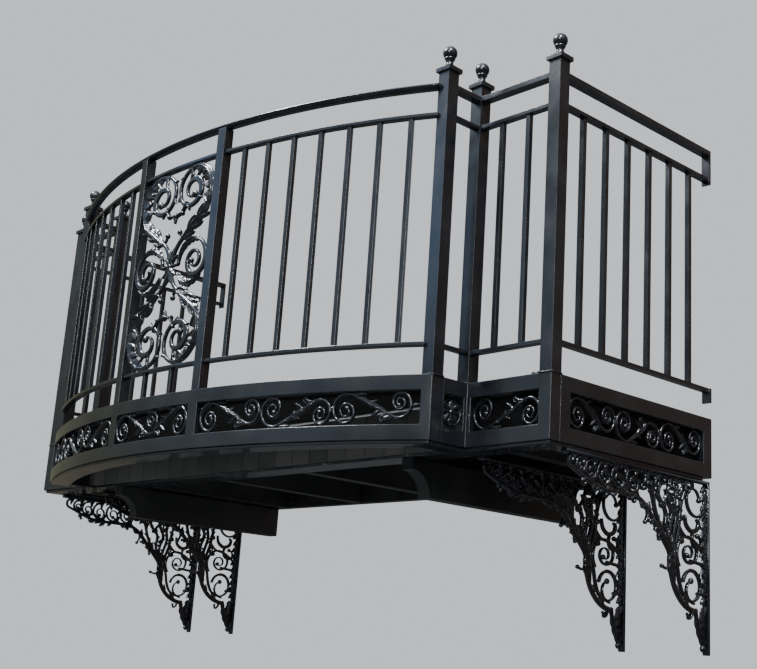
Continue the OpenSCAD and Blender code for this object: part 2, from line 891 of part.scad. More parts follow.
top_rail_bow();
other_side(true) bow_panel();  // bow_panel_left
bow_panel();  // bow_panel_right
centre_rails();
scroll_panel();
other_side(true) return_rails();  // return_rails_left
return_rails();  // return_rails_right
other_side(true) front_panel();  // front_panel_left
front_panel();  // front_panel_right
other_side(true) side_panel();  // side_panel_left
side_panel();  // side_panel_right
other_side(true) bracket(bracket_outer_x);  // bracket_outer_left
bracket(bracket_outer_x);  // bracket_outer_right
other_side(true) bracket(bracket_inner_x);  // bracket_inner_left
bracket(bracket_inner_x);  // bracket_inner_right
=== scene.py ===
import json
import math

import bpy
from mathutils import Matrix, Vector


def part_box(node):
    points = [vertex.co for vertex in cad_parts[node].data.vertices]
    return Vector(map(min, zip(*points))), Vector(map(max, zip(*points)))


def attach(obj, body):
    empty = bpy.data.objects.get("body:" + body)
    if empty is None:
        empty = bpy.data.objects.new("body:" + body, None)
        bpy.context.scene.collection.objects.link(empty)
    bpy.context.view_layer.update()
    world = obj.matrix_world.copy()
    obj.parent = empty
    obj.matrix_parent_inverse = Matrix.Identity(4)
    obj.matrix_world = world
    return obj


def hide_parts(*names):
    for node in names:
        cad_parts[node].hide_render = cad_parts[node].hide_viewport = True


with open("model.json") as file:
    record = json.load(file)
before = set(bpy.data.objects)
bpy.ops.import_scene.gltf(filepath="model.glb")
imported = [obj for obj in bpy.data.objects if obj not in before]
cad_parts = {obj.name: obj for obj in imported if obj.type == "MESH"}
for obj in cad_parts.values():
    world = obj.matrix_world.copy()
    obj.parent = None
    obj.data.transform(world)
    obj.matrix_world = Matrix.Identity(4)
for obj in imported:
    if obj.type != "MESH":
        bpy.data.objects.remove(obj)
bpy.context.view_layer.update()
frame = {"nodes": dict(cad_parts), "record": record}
NODES = frame["nodes"]
MM = 0.001

# Camera, matched to the photograph
IMAGE_W, IMAGE_H = 757, 669
FOCAL_PX = 1272.4
YAW, PITCH, ROLL = 0.80165, 0.26724, 0.05822
EYE = Vector((3.6712, -3.5114, -0.6750))
SENSOR = 36.0
SHIFT = (-0.0609, -0.0320)

# Sizes shared with the part's source
STRAP_W = 9 * MM
TIP_W = 5 * MM
CAST_T = 16 * MM
CAST_SET = 16 * MM
EYE_R = 8 * MM
BITE = 0.4 * MM
GAP = 2 * MM
SPIRAL_K = 0.66
BOW_LEAD, BOW_TAIL = 9 * MM, 26 * MM
BOW_RISE = 256 * MM
FASCIA_T = 45 * MM
STILE_W = 45 * MM
END_STILE_W = 30 * MM
MULLION_X = 237 * MM
MULLION_W = 38 * MM
BOW_RAIL_INSET = 20 * MM
POST_HALF = 22.5 * MM
BRACKET_BAR = 10 * MM
BRACKET_T = 24 * MM
BOLT_X2, BOLT_X3 = 660 * MM, 1090 * MM
BOLT_PAIR_H = 98 * MM

# A strap's section: the depth of the thinnest, as a share of a full one's, and the reach of its groove
THIN_DEPTH = 0.72
GROOVE_REACH = 0.4
# The least thickness of a leaf, as a share of its depth
LEAF_THIN = 0.06
# The share of a half turn left flat at a ball's poles
POLE = 0.02

# Edges, welds and trim
EDGE_EASE = 1.8 * MM
BAR_EASE = 1.6 * MM
WELD_R = 3 * MM
TAB_L, TAB_W, TAB_T = 30 * MM, 44 * MM, 8 * MM
# The pale strip along the header's top edge, a painted highlight: its radius, and how far its ends stop short
# of the fascia
BEAD_R = 4 * MM
BEAD_END = 3 * MM
WASHER_R, WASHER_T = 15 * MM, 2.5 * MM
HEAD_R, HEAD_TOP = 10.5 * MM, 10 * MM
HEAD_EASE = 0.8 * MM

# The bow's handrail
RAIL_W = 32 * MM
RAIL_EASE = 6.5 * MM
RAIL_LEAN = 2.5 * MM

# The balls on the posts, and the stretch of a half turn that shows over the cup
BALL_R = 23.3 * MM
CAP_TO_TOP = 65 * MM
BALL_FROM, BALL_TO = 0.24, 0.995
# The cup below a ball: heights over the cap, and radii, in millimetres
CUP = ((0, 13), (4, 12), (10, 11), (16, 14), (21, 17), (24, 17.5), (26, 15))


def span(node, axis):
    """Where a CAD node starts and ends along an axis."""
    low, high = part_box(node)
    return low[axis], high[axis]


# Places worked out from the frame
HALF_W = span("fascia_side_right", 0)[1]
BOW_HALF = span("fascia_bow", 0)[1]
BOW_FRONT = -span("fascia_bow", 1)[0]
BOW_R = (BOW_HALF ** 2 + BOW_RISE ** 2) / (2 * BOW_RISE)
BOW_Y = BOW_R - BOW_FRONT
FRONT_D = -span("header", 1)[0]
SIDE_L = FRONT_D - FASCIA_T
SLOT_LOW, SLOT_HIGH = span("scrolls_bow_centre", 2)
SLOT_H = SLOT_HIGH - SLOT_LOW
SLOT_Z = (SLOT_LOW + SLOT_HIGH) / 2
SLOT_R = (SLOT_H - STRAP_W) / 2 + BITE
SMALL_R = SLOT_R * 0.84
NEXT_GAP = SLOT_R + SMALL_R + STRAP_W + GAP
STILE_A = math.degrees(math.asin(MULLION_X / BOW_R))
STILE_HALF_A = math.degrees(math.asin(STILE_W / 2 / BOW_R))
SLOT_END_A = math.degrees(math.asin((BOW_HALF - END_STILE_W) / BOW_R))


# Drawing in a casting's plane: x across, y up, z towards the viewer

ORIGIN = Vector((0, 0))


def unit(a):
    """The direction at an angle, in degrees."""
    return Vector((math.cos(math.radians(a)), math.sin(math.radians(a))))


def arc(c, r, a0, a1, step=3.5 * MM):
    """An arc round c from one angle to another."""
    n = max(4, int(abs(math.radians(a1 - a0)) * r / step))
    return [c + r * unit(a0 + (a1 - a0) * i / n) for i in range(n + 1)]


def line(p, q, step=5 * MM):
    n = max(2, int((q - p).length / step))
    return [p.lerp(q, i / n) for i in range(n + 1)]


def bend(p, q, sag):
    """A curve from p to q that bows out to its left by sag."""
    steps = 8
    d = q - p
    mid = (p + q) / 2 + Vector((-d.y, d.x)).normalized() * sag * 2
    return [p.lerp(mid, i / steps).lerp(mid.lerp(q, i / steps), i / steps) for i in range(steps + 1)]


def through(points):
    """A smooth curve through points (Catmull-Rom)."""
    steps = 6
    ends = [points[0] * 2 - points[1]] + points + [points[-1] * 2 - points[-2]]
    path = [points[0]]
    for a, b, c, d in zip(ends, ends[1:], ends[2:], ends[3:]):
        for i in range(1, steps + 1):
            t = i / steps
            path.append((b * 2 + (c - a) * t + (a * 2 - b * 5 + c * 4 - d) * t * t
                         + (b * 3 - a - c * 3 + d) * t ** 3) / 2)
    return path


def spiral(c, r, a0, turn, turns=4):
    """The centre line of a spiral from its outer end to its eye."""
    path = []
    for _ in range(turns):
        path += arc(c, r, a0, a0 + turn * 180)[:-1]
        fall = r * (1 - SPIRAL_K)
        c = c + fall * unit(a0 + 180)
        r -= fall
        a0 += 180
    path.append(c + r * unit(a0))
    return path


def cross_a(c1, r1, c2, r2):
    """The angle on the first circle where a straight that touches both on opposite sides leaves it."""
    d = c2 - c1
    return math.degrees(math.atan2(d.y, d.x) + math.acos((r1 + r2) / d.length))


def swell(path, stops):
    """Widths along a path, read between stops of (share of its length, width)."""
    run = [0.0]
    for a, b in zip(path, path[1:]):
        run.append(run[-1] + (b - a).length)
    out = []
    for at in run:
        t = at / run[-1]
        k = next((i for i in range(1, len(stops)) if t <= stops[i][0]), len(stops) - 1)
        (t0, w0), (t1, w1) = stops[k - 1], stops[k]
        out.append(w0 + (w1 - w0) * (t - t0) / (t1 - t0))
    return out


def taper(n, w_start, w_mid, w_end):
    """Widths along a path that swell from its ends to its middle."""
    out = []
    for i in range(n):
        t = i / (n - 1)
        end = w_start if t < 0.5 else w_end
        out.append(end + (w_mid - end) * math.sin(math.pi * t) ** 0.6)
    return out


def leaf_belly(t):
    """A leaf's width at a share of its length, as a share of its widest place."""
    return math.sin(math.pi * min(1, 0.04 + 0.96 * t ** 0.8)) ** 0.7


def leaf_scallop(t, lobes, cut):
    """How far a leaf's edge reaches: whole at the tip of a lobe, less by cut between two."""
    return 1 - cut * (1 - abs(math.sin(math.pi * lobes * t)) ** 0.7)


def leaf_rise(t, v, lobes, ridges):
    """A leaf's rise at v across it, from -1 to 1: a crown with a rib, two furrows, veins and folds."""
    belly = leaf_belly(t)
    crown = (1 - abs(v) ** 2.2) * (0.55 + 0.45 * belly)
    rib = 0.2 * math.exp(-(v / 0.16) ** 2)
    furrow = 0.16 * math.exp(-((abs(v) - 0.34) / 0.14) ** 2)
    vein = 0.14 * math.cos(2 * math.pi * (lobes * t - 0.55 * abs(v))) * min(1, 2 * abs(v))
    fold = 0.2 * math.cos(2 * math.pi * ridges * v) if ridges else 0
    return max(LEAF_THIN, crown * (0.8 + vein + fold) + (rib - furrow) * belly)


class Casting:
    """Collects the rounded forms of one casting."""

    def __init__(self):
        self.verts = []
        self.faces = []
        self.place = Matrix.Identity(4)

    def add(self, rings):
        """Joins closed rings of points with quads, and caps both ends."""
        start = len(self.verts)
        n = len(rings[0])
        for ring in rings:
            self.verts += [self.place @ Vector(p) for p in ring]
        for i in range(len(rings) - 1):
            for k in range(n):
                a = start + i * n + k
                b = start + i * n + (k + 1) % n
                self.faces.append((a, b, b + n, a + n))
        end = start + (len(rings) - 1) * n
        self.faces.append(tuple(start + k for k in reversed(range(n))))
        self.faces.append(tuple(end + k for k in range(n)))

    def sweep(self, path, widths, depth, groove=0.22, sides=14):
        """A strap along a path: rounded, with a shallow groove front and back."""
        n = len(path)
        if not isinstance(widths, list):
            widths = [widths] * n
        rings = []
        for i, p in enumerate(path):
            along = (path[min(i + 1, n - 1)] - path[max(i - 1, 0)]).normalized()
            side = Vector((-along.y, along.x))
            deep = depth * (THIN_DEPTH + (1 - THIN_DEPTH) * min(1, widths[i] / STRAP_W))
            ring = []
            for k in range(sides):
                a = 2 * math.pi * k / sides
                x = math.cos(a)
                dent = 1 - groove * math.exp(-(x / GROOVE_REACH) ** 2)
                p2 = p + side * x * widths[i] / 2
                ring.append((p2.x, p2.y, -math.sin(a) * dent * deep / 2))
            rings.append(ring)
        self.add(rings)

    def bar(self, p, q, w, depth):
        """A straight bar of rectangular section with eased edges."""
        along = (q - p).normalized()
        side = Vector((-along.y, along.x))
        outline = []
        for sx, sz in ((1, 1), (-1, 1), (-1, -1), (1, -1)):
            outline.append((sx * (w / 2 - BAR_EASE), sz * depth / 2))
            outline.append((sx * w / 2, sz * (depth / 2 - BAR_EASE)))
        outline.sort(key=lambda corner: -math.atan2(corner[1], corner[0]))
        rings = []
        step = along * BAR_EASE
        for end, ease in ((p, BAR_EASE), (p + step, 0), (q - step, 0), (q, BAR_EASE)):
            ring = []
            for x, z in outline:
                x -= math.copysign(min(ease, abs(x)), x)
                z -= math.copysign(min(ease, abs(z)), z)
                p2 = end + side * x
                ring.append((p2.x, p2.y, z))
            rings.append(ring)
        self.add(rings)

    def ball(self, c, r, depth):
        """A ball, flattened to a depth."""
        rows = 9
        sides = 14
        rings = []
        for i in range(rows + 1):
            a = math.pi * (POLE + (1 - 2 * POLE) * i / rows)
            rings.append([(c.x + r * math.sin(a) * math.cos(2 * math.pi * k / sides),
                           c.y - r * math.sin(a) * math.sin(2 * math.pi * k / sides),
                           depth / 2 * math.cos(a)) for k in range(sides)])
        self.add(rings)

    def leaf(self, path, w, depth, lobes, cut=0.3, across=7, one_side=0, ridges=0):
        """An acanthus leaf along a path, lobed on both sides or only on the left (1) or right (-1)."""
        n = max(3 * lobes + 4, len(path))
        rings = []
        for i in range(n + 1):
            t = i / n
            run = t * (len(path) - 1)
            k = min(int(run), len(path) - 2)
            p = path[k].lerp(path[k + 1], run - k)
            along = (path[k + 1] - path[k]).normalized()
            side = Vector((-along.y, along.x))
            front = []
            back = []
            for j in range(across + 1):
                v = -1 + 2 * j / across
                reach = w / 2 * leaf_belly(t) * leaf_scallop(t, lobes, cut)
                if one_side and v * one_side < 0:
                    reach = w / 5 * leaf_belly(t)
                p2 = p + side * v * reach
                z = leaf_rise(t, v, lobes, ridges) * depth / 2
                front.append((p2.x, p2.y, z))
                back.append((p2.x, p2.y, -z))
            rings.append(front + back[::-1])
        self.add(rings)

    def piece(self, name, mirrored=False):
        """Makes the object; a mirrored one is the same casting on the left."""
        verts = self.verts
        faces = self.faces
        if mirrored:
            verts = [(-p[0], p[1], p[2]) for p in verts]
            faces = [tuple(reversed(f)) for f in faces]
        mesh = bpy.data.meshes.new(name)
        mesh.from_pydata([tuple(p) for p in verts], [], faces)
        mesh.polygons.foreach_set("use_smooth", [len(p.vertices) == 4 for p in mesh.polygons])
        mesh.update()
        obj = bpy.data.objects.new(name, mesh)
        bpy.context.scene.collection.objects.link(obj)
        return obj


def curl(cast, c, r, a0, turn, w, turns):
    """A spiral of its own that ends in a ball."""
    path = spiral(c, r, a0, turn, turns)
    n = len(path)
    widths = [w + (TIP_W - w) * i / (n - 1) for i in range(n)]
    cast.sweep(path, widths, CAST_T)
    cast.ball(path[-1], max(EYE_R, w * 0.75), CAST_T * 1.12)


def s_scroll(cast, gap, small=True):
    """An S scroll: a big spiral at the origin, a stem, and a small spiral at the slot's top."""
    c = Vector((gap, SLOT_R - SMALL_R))
    a = cross_a(ORIGIN, SLOT_R, c, SMALL_R)
    p = SLOT_R * unit(a)
    q = c + SMALL_R * unit(a + 180)
    big = spiral(ORIGIN, SLOT_R, a, 1)
    path = list(reversed(big)) + line(p, q)[1:-1]
    if small:
        path += spiral(c, SMALL_R, a + 180, 1)
    cast.sweep(path, taper(len(path), TIP_W, STRAP_W * 1.12, TIP_W if small else STRAP_W), CAST_T)
    cast.ball(big[-1], EYE_R * 1.05, CAST_T * 1.1)
    if small:
        cast.ball(path[-1], EYE_R, CAST_T * 1.1)
    scroll_leaves(cast, p, q, gap)


def scroll_leaves(cast, p, q, gap):
    """Leaves along an S scroll's stem, a second strand beside it, and a small curl at its foot."""
    edge = SLOT_H / 2 - STRAP_W
    stem = q - p
    for root, other, s in ((p, q, 1), (q, p, -1)):
        tip = Vector((root.x + s * gap / 4, s * edge))
        cast.leaf(bend(root, tip, s * gap * 0.03), STRAP_W * 2.0, CAST_T, 4)
        mid = root + (other - root) * 0.34
        tip = Vector((mid.x + s * gap * 0.2, s * edge * 0.62))
        cast.leaf(bend(mid, tip, -s * 3 * MM), STRAP_W * 1.5, CAST_T, 3)
    side = Vector((-stem.y, stem.x)).normalized()
    strand = bend(p + stem * 0.02, q - stem * 0.02, 7 * MM)
    cast.sweep(strand, taper(len(strand), 3.5 * MM, 6 * MM, 3.5 * MM), CAST_T * 1.1, 0)
    for share, s in ((0.12, 1), (0.34, -1), (0.56, 1), (0.74, -1)):
        root = p + stem * share
        tip = root + stem.normalized() * 22 * MM + side * s * 11 * MM
        cast.leaf(bend(root, tip, -s * 3 * MM), STRAP_W * 1.3, CAST_T * 1.2, 3)
    foot = Vector((q.x - gap * 0.2, -edge + 8 * MM))
    cast.sweep(spiral(foot, 9 * MM, 20, 1, 2), STRAP_W * 0.6, CAST_T * 0.7, 0)


def collar(cast):
    """The ball that ties two spirals."""
    cast.ball(ORIGIN, EYE_R * 1.35, CAST_T * 1.15)


def replace(cast, name, node, mirrored=False):
    """Puts a casting in the place of its CAD node."""
    obj = cast.piece(name, mirrored)
    obj.data.materials.append(CASTING)
    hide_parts(node)
    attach(obj, "root")


def replace_pair(cast, name, node):
    """A casting on the right, and the same mirrored on the left."""
    replace(cast, name + "_right", node + "_right")
    replace(cast, name + "_left", node + "_left", True)


UPRIGHT = Matrix.Rotation(math.radians(90), 4, "X")


def on_bow(r, a, z):
    """Stands a drawing on the bow at an angle from its middle."""
    at = Vector((r * math.sin(math.radians(a)), BOW_Y - r * math.cos(math.radians(a)), z))
    return Matrix.Translation(at) @ Matrix.Rotation(math.radians(a), 4, "Z") @ UPRIGHT


def facing(x, y, z, turned=90):
    """Stands a drawing at a place, turned about the upright from facing the front."""
    return Matrix.Translation((x, y, z)) @ Matrix.Rotation(math.radians(turned), 4, "Z") @ UPRIGHT


def moved(x, over=False):
    """A shift along the run, turned over where over is set."""
    turn = Matrix.Rotation(math.pi, 4, "X") if over else Matrix.Identity(4)
    return turn @ Matrix.Translation((x, 0, 0))


def bow_centre():
    cast = Casting()
    r = BOW_R - CAST_SET
    half = BOW_R * math.radians(STILE_A - STILE_HALF_A)
    gap = half - SLOT_R - STRAP_W / 2 - GAP
    base = on_bow(r, 0, SLOT_Z)
    cast.place = base @ moved(-gap)
    s_scroll(cast, gap)
    cast.place = base @ Matrix.Rotation(math.pi, 4, "Y") @ moved(-gap)
    s_scroll(cast, gap, small=False)
    replace(cast, "casting_bow_centre", "scrolls_bow_centre")


def bow_bay():
    r = BOW_R - CAST_SET
    a0 = STILE_A + STILE_HALF_A
    length = math.radians(SLOT_END_A - a0) * r
    pitch = (length - BOW_LEAD - BOW_TAIL + GAP) / 3
    gap = pitch - NEXT_GAP
    start = BOW_LEAD + SLOT_R + STRAP_W / 2

    def at(x):
        return on_bow(r, a0 + math.degrees(x / r), SLOT_Z)

    cast = Casting()
    for i in range(3):
        cast.place = at(start + i * pitch + gap / 2) @ moved(-gap / 2, i % 2)
        s_scroll(cast, gap)
        if i:
            cast.place = at(start + i * pitch - SLOT_R - STRAP_W / 2)
            collar(cast)
    cast.place = at(start)
    first = SLOT_R * unit(150)
    tip = Vector((-SLOT_R - STRAP_W / 2 - BOW_LEAD, SLOT_R * 0.75))
    cast.leaf(bend(first, tip, -3 * MM), STRAP_W * 1.7, CAST_T, 3)
    cast.place = at(length - BOW_TAIL)
    tip = Vector((BOW_TAIL, STRAP_W))
    cast.leaf(bend(Vector((-STRAP_W, 0)), tip, 3 * MM), STRAP_W * 1.8, CAST_T, 4)
    replace_pair(cast, "casting_bow", "scrolls_bow")


def front_bay():
    stile_l = FASCIA_T + STILE_W / 3
    length = HALF_W - BOW_HALF + FASCIA_T - stile_l - STILE_W
    gap = length - SLOT_R - SMALL_R - STRAP_W - 2 * GAP
    x = BOW_HALF - FASCIA_T + stile_l + length / 2 + (SLOT_R - SMALL_R) / 2
    cast = Casting()
    cast.place = facing(x, -FRONT_D + CAST_SET, SLOT_Z, 0) @ moved(-gap / 2, True)
    s_scroll(cast, gap)
    replace_pair(cast, "casting_front", "scrolls_front")


def side_run():
    length = SIDE_L - 2 * STILE_W
    pitch = (length - GAP) / 3
    gap = pitch - NEXT_GAP
    start = GAP + SLOT_R + STRAP_W / 2 - length / 2
    base = facing(HALF_W - CAST_SET, -SIDE_L / 2, SLOT_Z)
    cast = Casting()
    for i in range(3):
        cast.place = base @ Matrix.Translation((start + i * pitch + gap / 2, 0, 0)) @ moved(-gap / 2, i % 2)
        s_scroll(cast, gap)
        if i:
            cast.place = base @ Matrix.Translation((start + i * pitch - SLOT_R - STRAP_W / 2, 0, 0))
            collar(cast)
    replace_pair(cast, "casting_side", "scrolls_side")


def rosettes():
    low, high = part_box("rosette_right")
    length = high.y - low.y
    ring_r = length / 2 - TIP_W / 2
    cast = Casting()
    cast.place = facing(BOW_HALF - CAST_SET, (low.y + high.y) / 2, SLOT_Z)
    cast.sweep(arc(ORIGIN, ring_r, 0, 360, 2.5 * MM), TIP_W, CAST_T * 0.9, 0)
    for a in range(0, 360, 45):
        cast.leaf(line(ORIGIN, ring_r * unit(a), 6 * MM), ring_r * 0.6, CAST_T, 2)
    cast.ball(ORIGIN, EYE_R * 1.2, CAST_T * 1.4)
    replace_pair(cast, "casting_rosette", "rosette")


# Widths along half of a panel's long strap, from the ball in a corner to the waist
PANEL_STOPS = ((0, 9 * MM), (0.06, 13 * MM), (0.16, 29 * MM), (0.25, 20 * MM), (0.34, 14 * MM),
               (0.449, 14 * MM), (0.6, 16 * MM), (0.77, 17 * MM), (0.9, 16 * MM), (1, 14 * MM))
FLANK_STOPS = ((0, 14 * MM), (0.3, 14 * MM), (0.55, 24 * MM), (0.8, 14 * MM), (1, 9 * MM))
# The radii of the panel's first half turns, as shares of its width
CORNER_R = 0.24
WAIST_R = 0.255
FLANK_R = 0.183
# The tie between two corner spirals, as shares of the panel's width from its middle
TIE = ((-0.14, 0.525), (-0.1, 0.455), (-0.045, 0.428), (0, 0.422),
       (0.045, 0.428), (0.1, 0.455), (0.14, 0.525))


def scroll_panel():
    """Two long straps back to back: each has a spiral in two corners, and a side spiral at its waist."""
    low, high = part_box("scroll_panel")
    w = 2 * MULLION_X - MULLION_W
    h = high.z - low.z
    strap = STRAP_W * 1.7
    corner_r = w * CORNER_R
    waist_r = w * WAIST_R
    flank_r = w * FLANK_R
    c = Vector((w / 2 - corner_r - strap / 2 - GAP, h / 2 - corner_r - strap / 2 + BITE))
    k = Vector((strap / 2 + waist_r, 0))
    a = cross_a(k, waist_r, c, corner_r)
    p = k + waist_r * unit(a)
    q = c + corner_r * unit(a + 180)
    corner = spiral(c, corner_r, a + 180, 1)
    half = list(reversed(corner)) + line(q, p)[1:-1] + arc(k, waist_r, a, 180)
    widths = swell(half, PANEL_STOPS)
    path = half + [Vector((p.x, -p.y)) for p in reversed(half[:-1])]
    widths += list(reversed(widths[:-1]))
    flank_c = Vector((w / 2 - flank_r - strap / 2 - GAP, 0))
    flank = spiral(flank_c, flank_r, 180, -1)
    cast = Casting()
    base = facing(0, BOW_Y - BOW_R + BOW_RAIL_INSET, (low.z + high.z) / 2, 0)
    for m in (0, 1):
        turned = base @ Matrix.Rotation(m * math.pi, 4, "Y")
        cast.place = turned
        cast.sweep(path, widths, CAST_T, 0.34, 18)
        cast.sweep(flank, swell(flank, FLANK_STOPS), CAST_T, 0.3, 18)
        cast.ball(flank[-1], EYE_R * 1.4, CAST_T * 1.15)
        cast.sweep(line(ORIGIN, flank_c - Vector((flank_r, 0))), strap * 0.8, CAST_T * 0.9, 0)
        for n in (0, 1):
            cast.place = turned @ Matrix.Rotation(n * math.pi, 4, "X")
            cast.ball(corner[-1], EYE_R * 1.75, CAST_T * 1.2)
            corner_leaves(cast, c, corner_r, w, corner)
            stem_leaves(cast, c, corner_r, a, p, q, w)
            cast.leaf(arc(flank_c, flank_r, 158, 44), STRAP_W * 4.0, CAST_T * 1.3, 6, 0.45, 14, 0, 2)
            waist_leaves(cast, p, w, h)
    panel_ties(cast, base, w)
    cast.place = base
    collar(cast)
    replace(cast, "casting_panel", "scroll_panel")


def waist_leaves(cast, p, w, h):
    """A ball on a stalk from the strap, and two leaves from the panel's middle."""
    bud = Vector((w * 0.085, h * 0.165))
    cast.sweep(bend(p, bud, 5 * MM), STRAP_W * 0.8, CAST_T * 0.8, 0)
    cast.ball(bud, EYE_R * 1.3, CAST_T * 1.15)
    for x, y in ((0.1, 0.05), (0.04, 0.09)):
        tip = Vector((w * x, h * y))
        cast.leaf(bend(ORIGIN, tip, 6 * MM), STRAP_W * 2.8, CAST_T * 1.2, 3)


def panel_ties(cast, base, w):
    """Ties between the corner spirals, at the top and the bottom: three balls and a drop leaf on each."""
    for n in (0, 1):
        cast.place = base @ Matrix.Rotation(n * math.pi, 4, "X")
        tie = through([Vector(t) * w for t in TIE])
        cast.sweep(tie, taper(len(tie), STRAP_W * 0.6, STRAP_W * 1.3, STRAP_W * 0.6), CAST_T * 1.1, 0)
        for x, size in ((-0.09, 1.2), (0, 1.6), (0.09, 1.2)):
            cast.ball(Vector((x, 0.425 + 1.2 * x * x)) * w, EYE_R * size, CAST_T * 1.3)
        drop = line(Vector((0, 0.43)) * w, Vector((0, 0.36)) * w, 6 * MM)
        cast.leaf(drop, STRAP_W * 2.4, CAST_T * 1.2, 3)


def corner_leaves(cast, c, r, w, loops):
    """Pierced acanthus inside a corner's outer arc, and small leaves over its inner loop."""
    cast.leaf(arc(c, r - 3 * MM, -48, 118), w * 0.18, CAST_T * 1.2, 7, 0.66, 14, 1, 2.5)
    for b in (-30, 4, 38, 72, 106):
        root = c + r * unit(b)
        tip = c + (r - w * 0.1) * unit(b + 20)
        cast.leaf(bend(root, tip, 7 * MM), STRAP_W * 2.0, CAST_T * 1.05, 3)
    for share in (0.44, 0.53, 0.62, 0.7):
        i = int(share * len(loops))
        ahead = (loops[i + 1] - loops[i]).normalized()
        tip = loops[i] + ahead * w * 0.05 + Vector((ahead.y, -ahead.x)) * w * 0.04
        cast.leaf(bend(loops[i], tip, 5 * MM), STRAP_W * 2.0, CAST_T * 1.1, 3)


def stem_leaves(cast, c, r, a, p, q, w):
    """The long acanthus that sheathes a stem, from the waist out to its corner."""
    along = line(p, q) + arc(c, r, a + 180, a + 225)[1:]
    cast.leaf(along, w * 0.1, CAST_T * 1.35, 5, 0.2, 18, 0, 2.5)
    stem = (q - p).normalized()
    out = Vector((stem.y, -stem.x))
    for share, s, long in ((0.0, 1, 0.15), (0.3, -1, 0.13), (0.45, 1, 0.14), (0.8, -1, 0.12), (0.95, 1, 0.1)):
        root = p.lerp(q, share)
        tip = root + stem * w * long + out * s * w * 0.06
        cast.leaf(bend(root, tip, -8 * MM * s), STRAP_W * 2.1, CAST_T * 1.2, 4, 0.3, 9, 0, 1)


def chain(p, a, strokes):
    """A path of arcs (radius, turn, width) and straights (length, 0, width) with its widths."""
    path = [p]
    widths = [strokes[0][2]]
    for size, turn, w in strokes:
        if turn:
            side = math.copysign(1, turn)
            c = p + size * unit(a + side * 90)
            a1 = a - side * 90
            more = arc(c, size, a1, a1 + turn, 4 * MM)[1:]
            a += turn
        else:
            more = line(p, p + size * unit(a), 6 * MM)[1:]
        path += more
        w0 = widths[-1]
        widths += [w0 + (w - w0) * (i + 1) / len(more) for i in range(len(more))]
        p = more[-1]
    return path, widths


# The bracket's drawing, in millimetres at its drawn height: x from the wall, y up from the fascia's foot
DRAWN_H = 540 * MM
BRACKET_REACH = -span("bracket_outer_right", 1)[0]
BRACKET_FOOT, BRACKET_TOP = span("bracket_outer_right", 2)
BRACKET_H = BRACKET_TOP - BRACKET_FOOT
DRAWN_TO_REAL = BRACKET_H / DRAWN_H
BRACKET_W = STRAP_W * 1.3


def size(length):
    """A length of the bracket's drawing."""
    return length * MM * DRAWN_TO_REAL


def spot(x, y):
    """A point of the bracket's drawing."""
    return Vector((x, y)) * MM * DRAWN_TO_REAL


def drawn(points):
    """A smooth curve through points of the bracket's drawing."""
    return through([spot(*p) for p in points])


# The strap's shoulder, and its level stretch, which takes up what the reach leaves
SHOULDER = size(408)
LEVEL = BRACKET_REACH - SHOULDER - size(205)


# Hooks that leave the strap's outer side, with their widths as shares of the strap's
HOOKS = ((((190, -226), (207, -256), (208, -282), (224, -292), (246, -286)), 1.0),
         (((226, -208), (252, -190), (266, -196), (262, -208)), 0.8),
         (((248, -178), (268, -160), (284, -166), (280, -178)), 0.8),
         (((356, -106), (330, -118), (322, -140), (334, -164)), 1.0),
         (((80, -404), (92, -428), (104, -434), (108, -420)), 0.7))
# Wavy stems from the knot up to the top bar, and the way each curls at its end
SHEATH = ((((186, -300), (181, -230), (160, -160), (150, -96), (128, -40)), 1),
          (((190, -276), (193, -206), (176, -136), (184, -84), (168, -40)), -1),
          (((196, -258), (212, -186), (198, -120), (222, -76), (214, -40)), 1),
          (((204, -244), (230, -176), (230, -120), (268, -80), (262, -40)), -1),
          (((214, -234), (246, -186), (278, -136), (298, -84), (318, -44)), -1))
# A crescent and a strap between the wall spirals
CRESCENTS = ((((126, -118), (118, -148), (90, -166), (60, -158), (50, -138), (60, -126)), 1.4),
             (((164, -150), (130, -182), (84, -192), (44, -214), (14, -240)), 0.9))
# Small curls between the stems: place, radius and turn
SMALL_CURLS = ((146, -196, 12, 1), (160, -68, 10, -1), (200, -92, 11, 1), (246, -104, 12, -1),
               (292, -72, 11, 1), (346, -62, 12, -1), (208, -150, 9, -1), (150, -128, 10, 1))
# Spirals that hang from the top bar: share of the way from the shoulder to the front, and radius
HANGING = ((-0.025, 34), (0.2, 34), (0.415, 33), (0.605, 28), (0.76, 21))


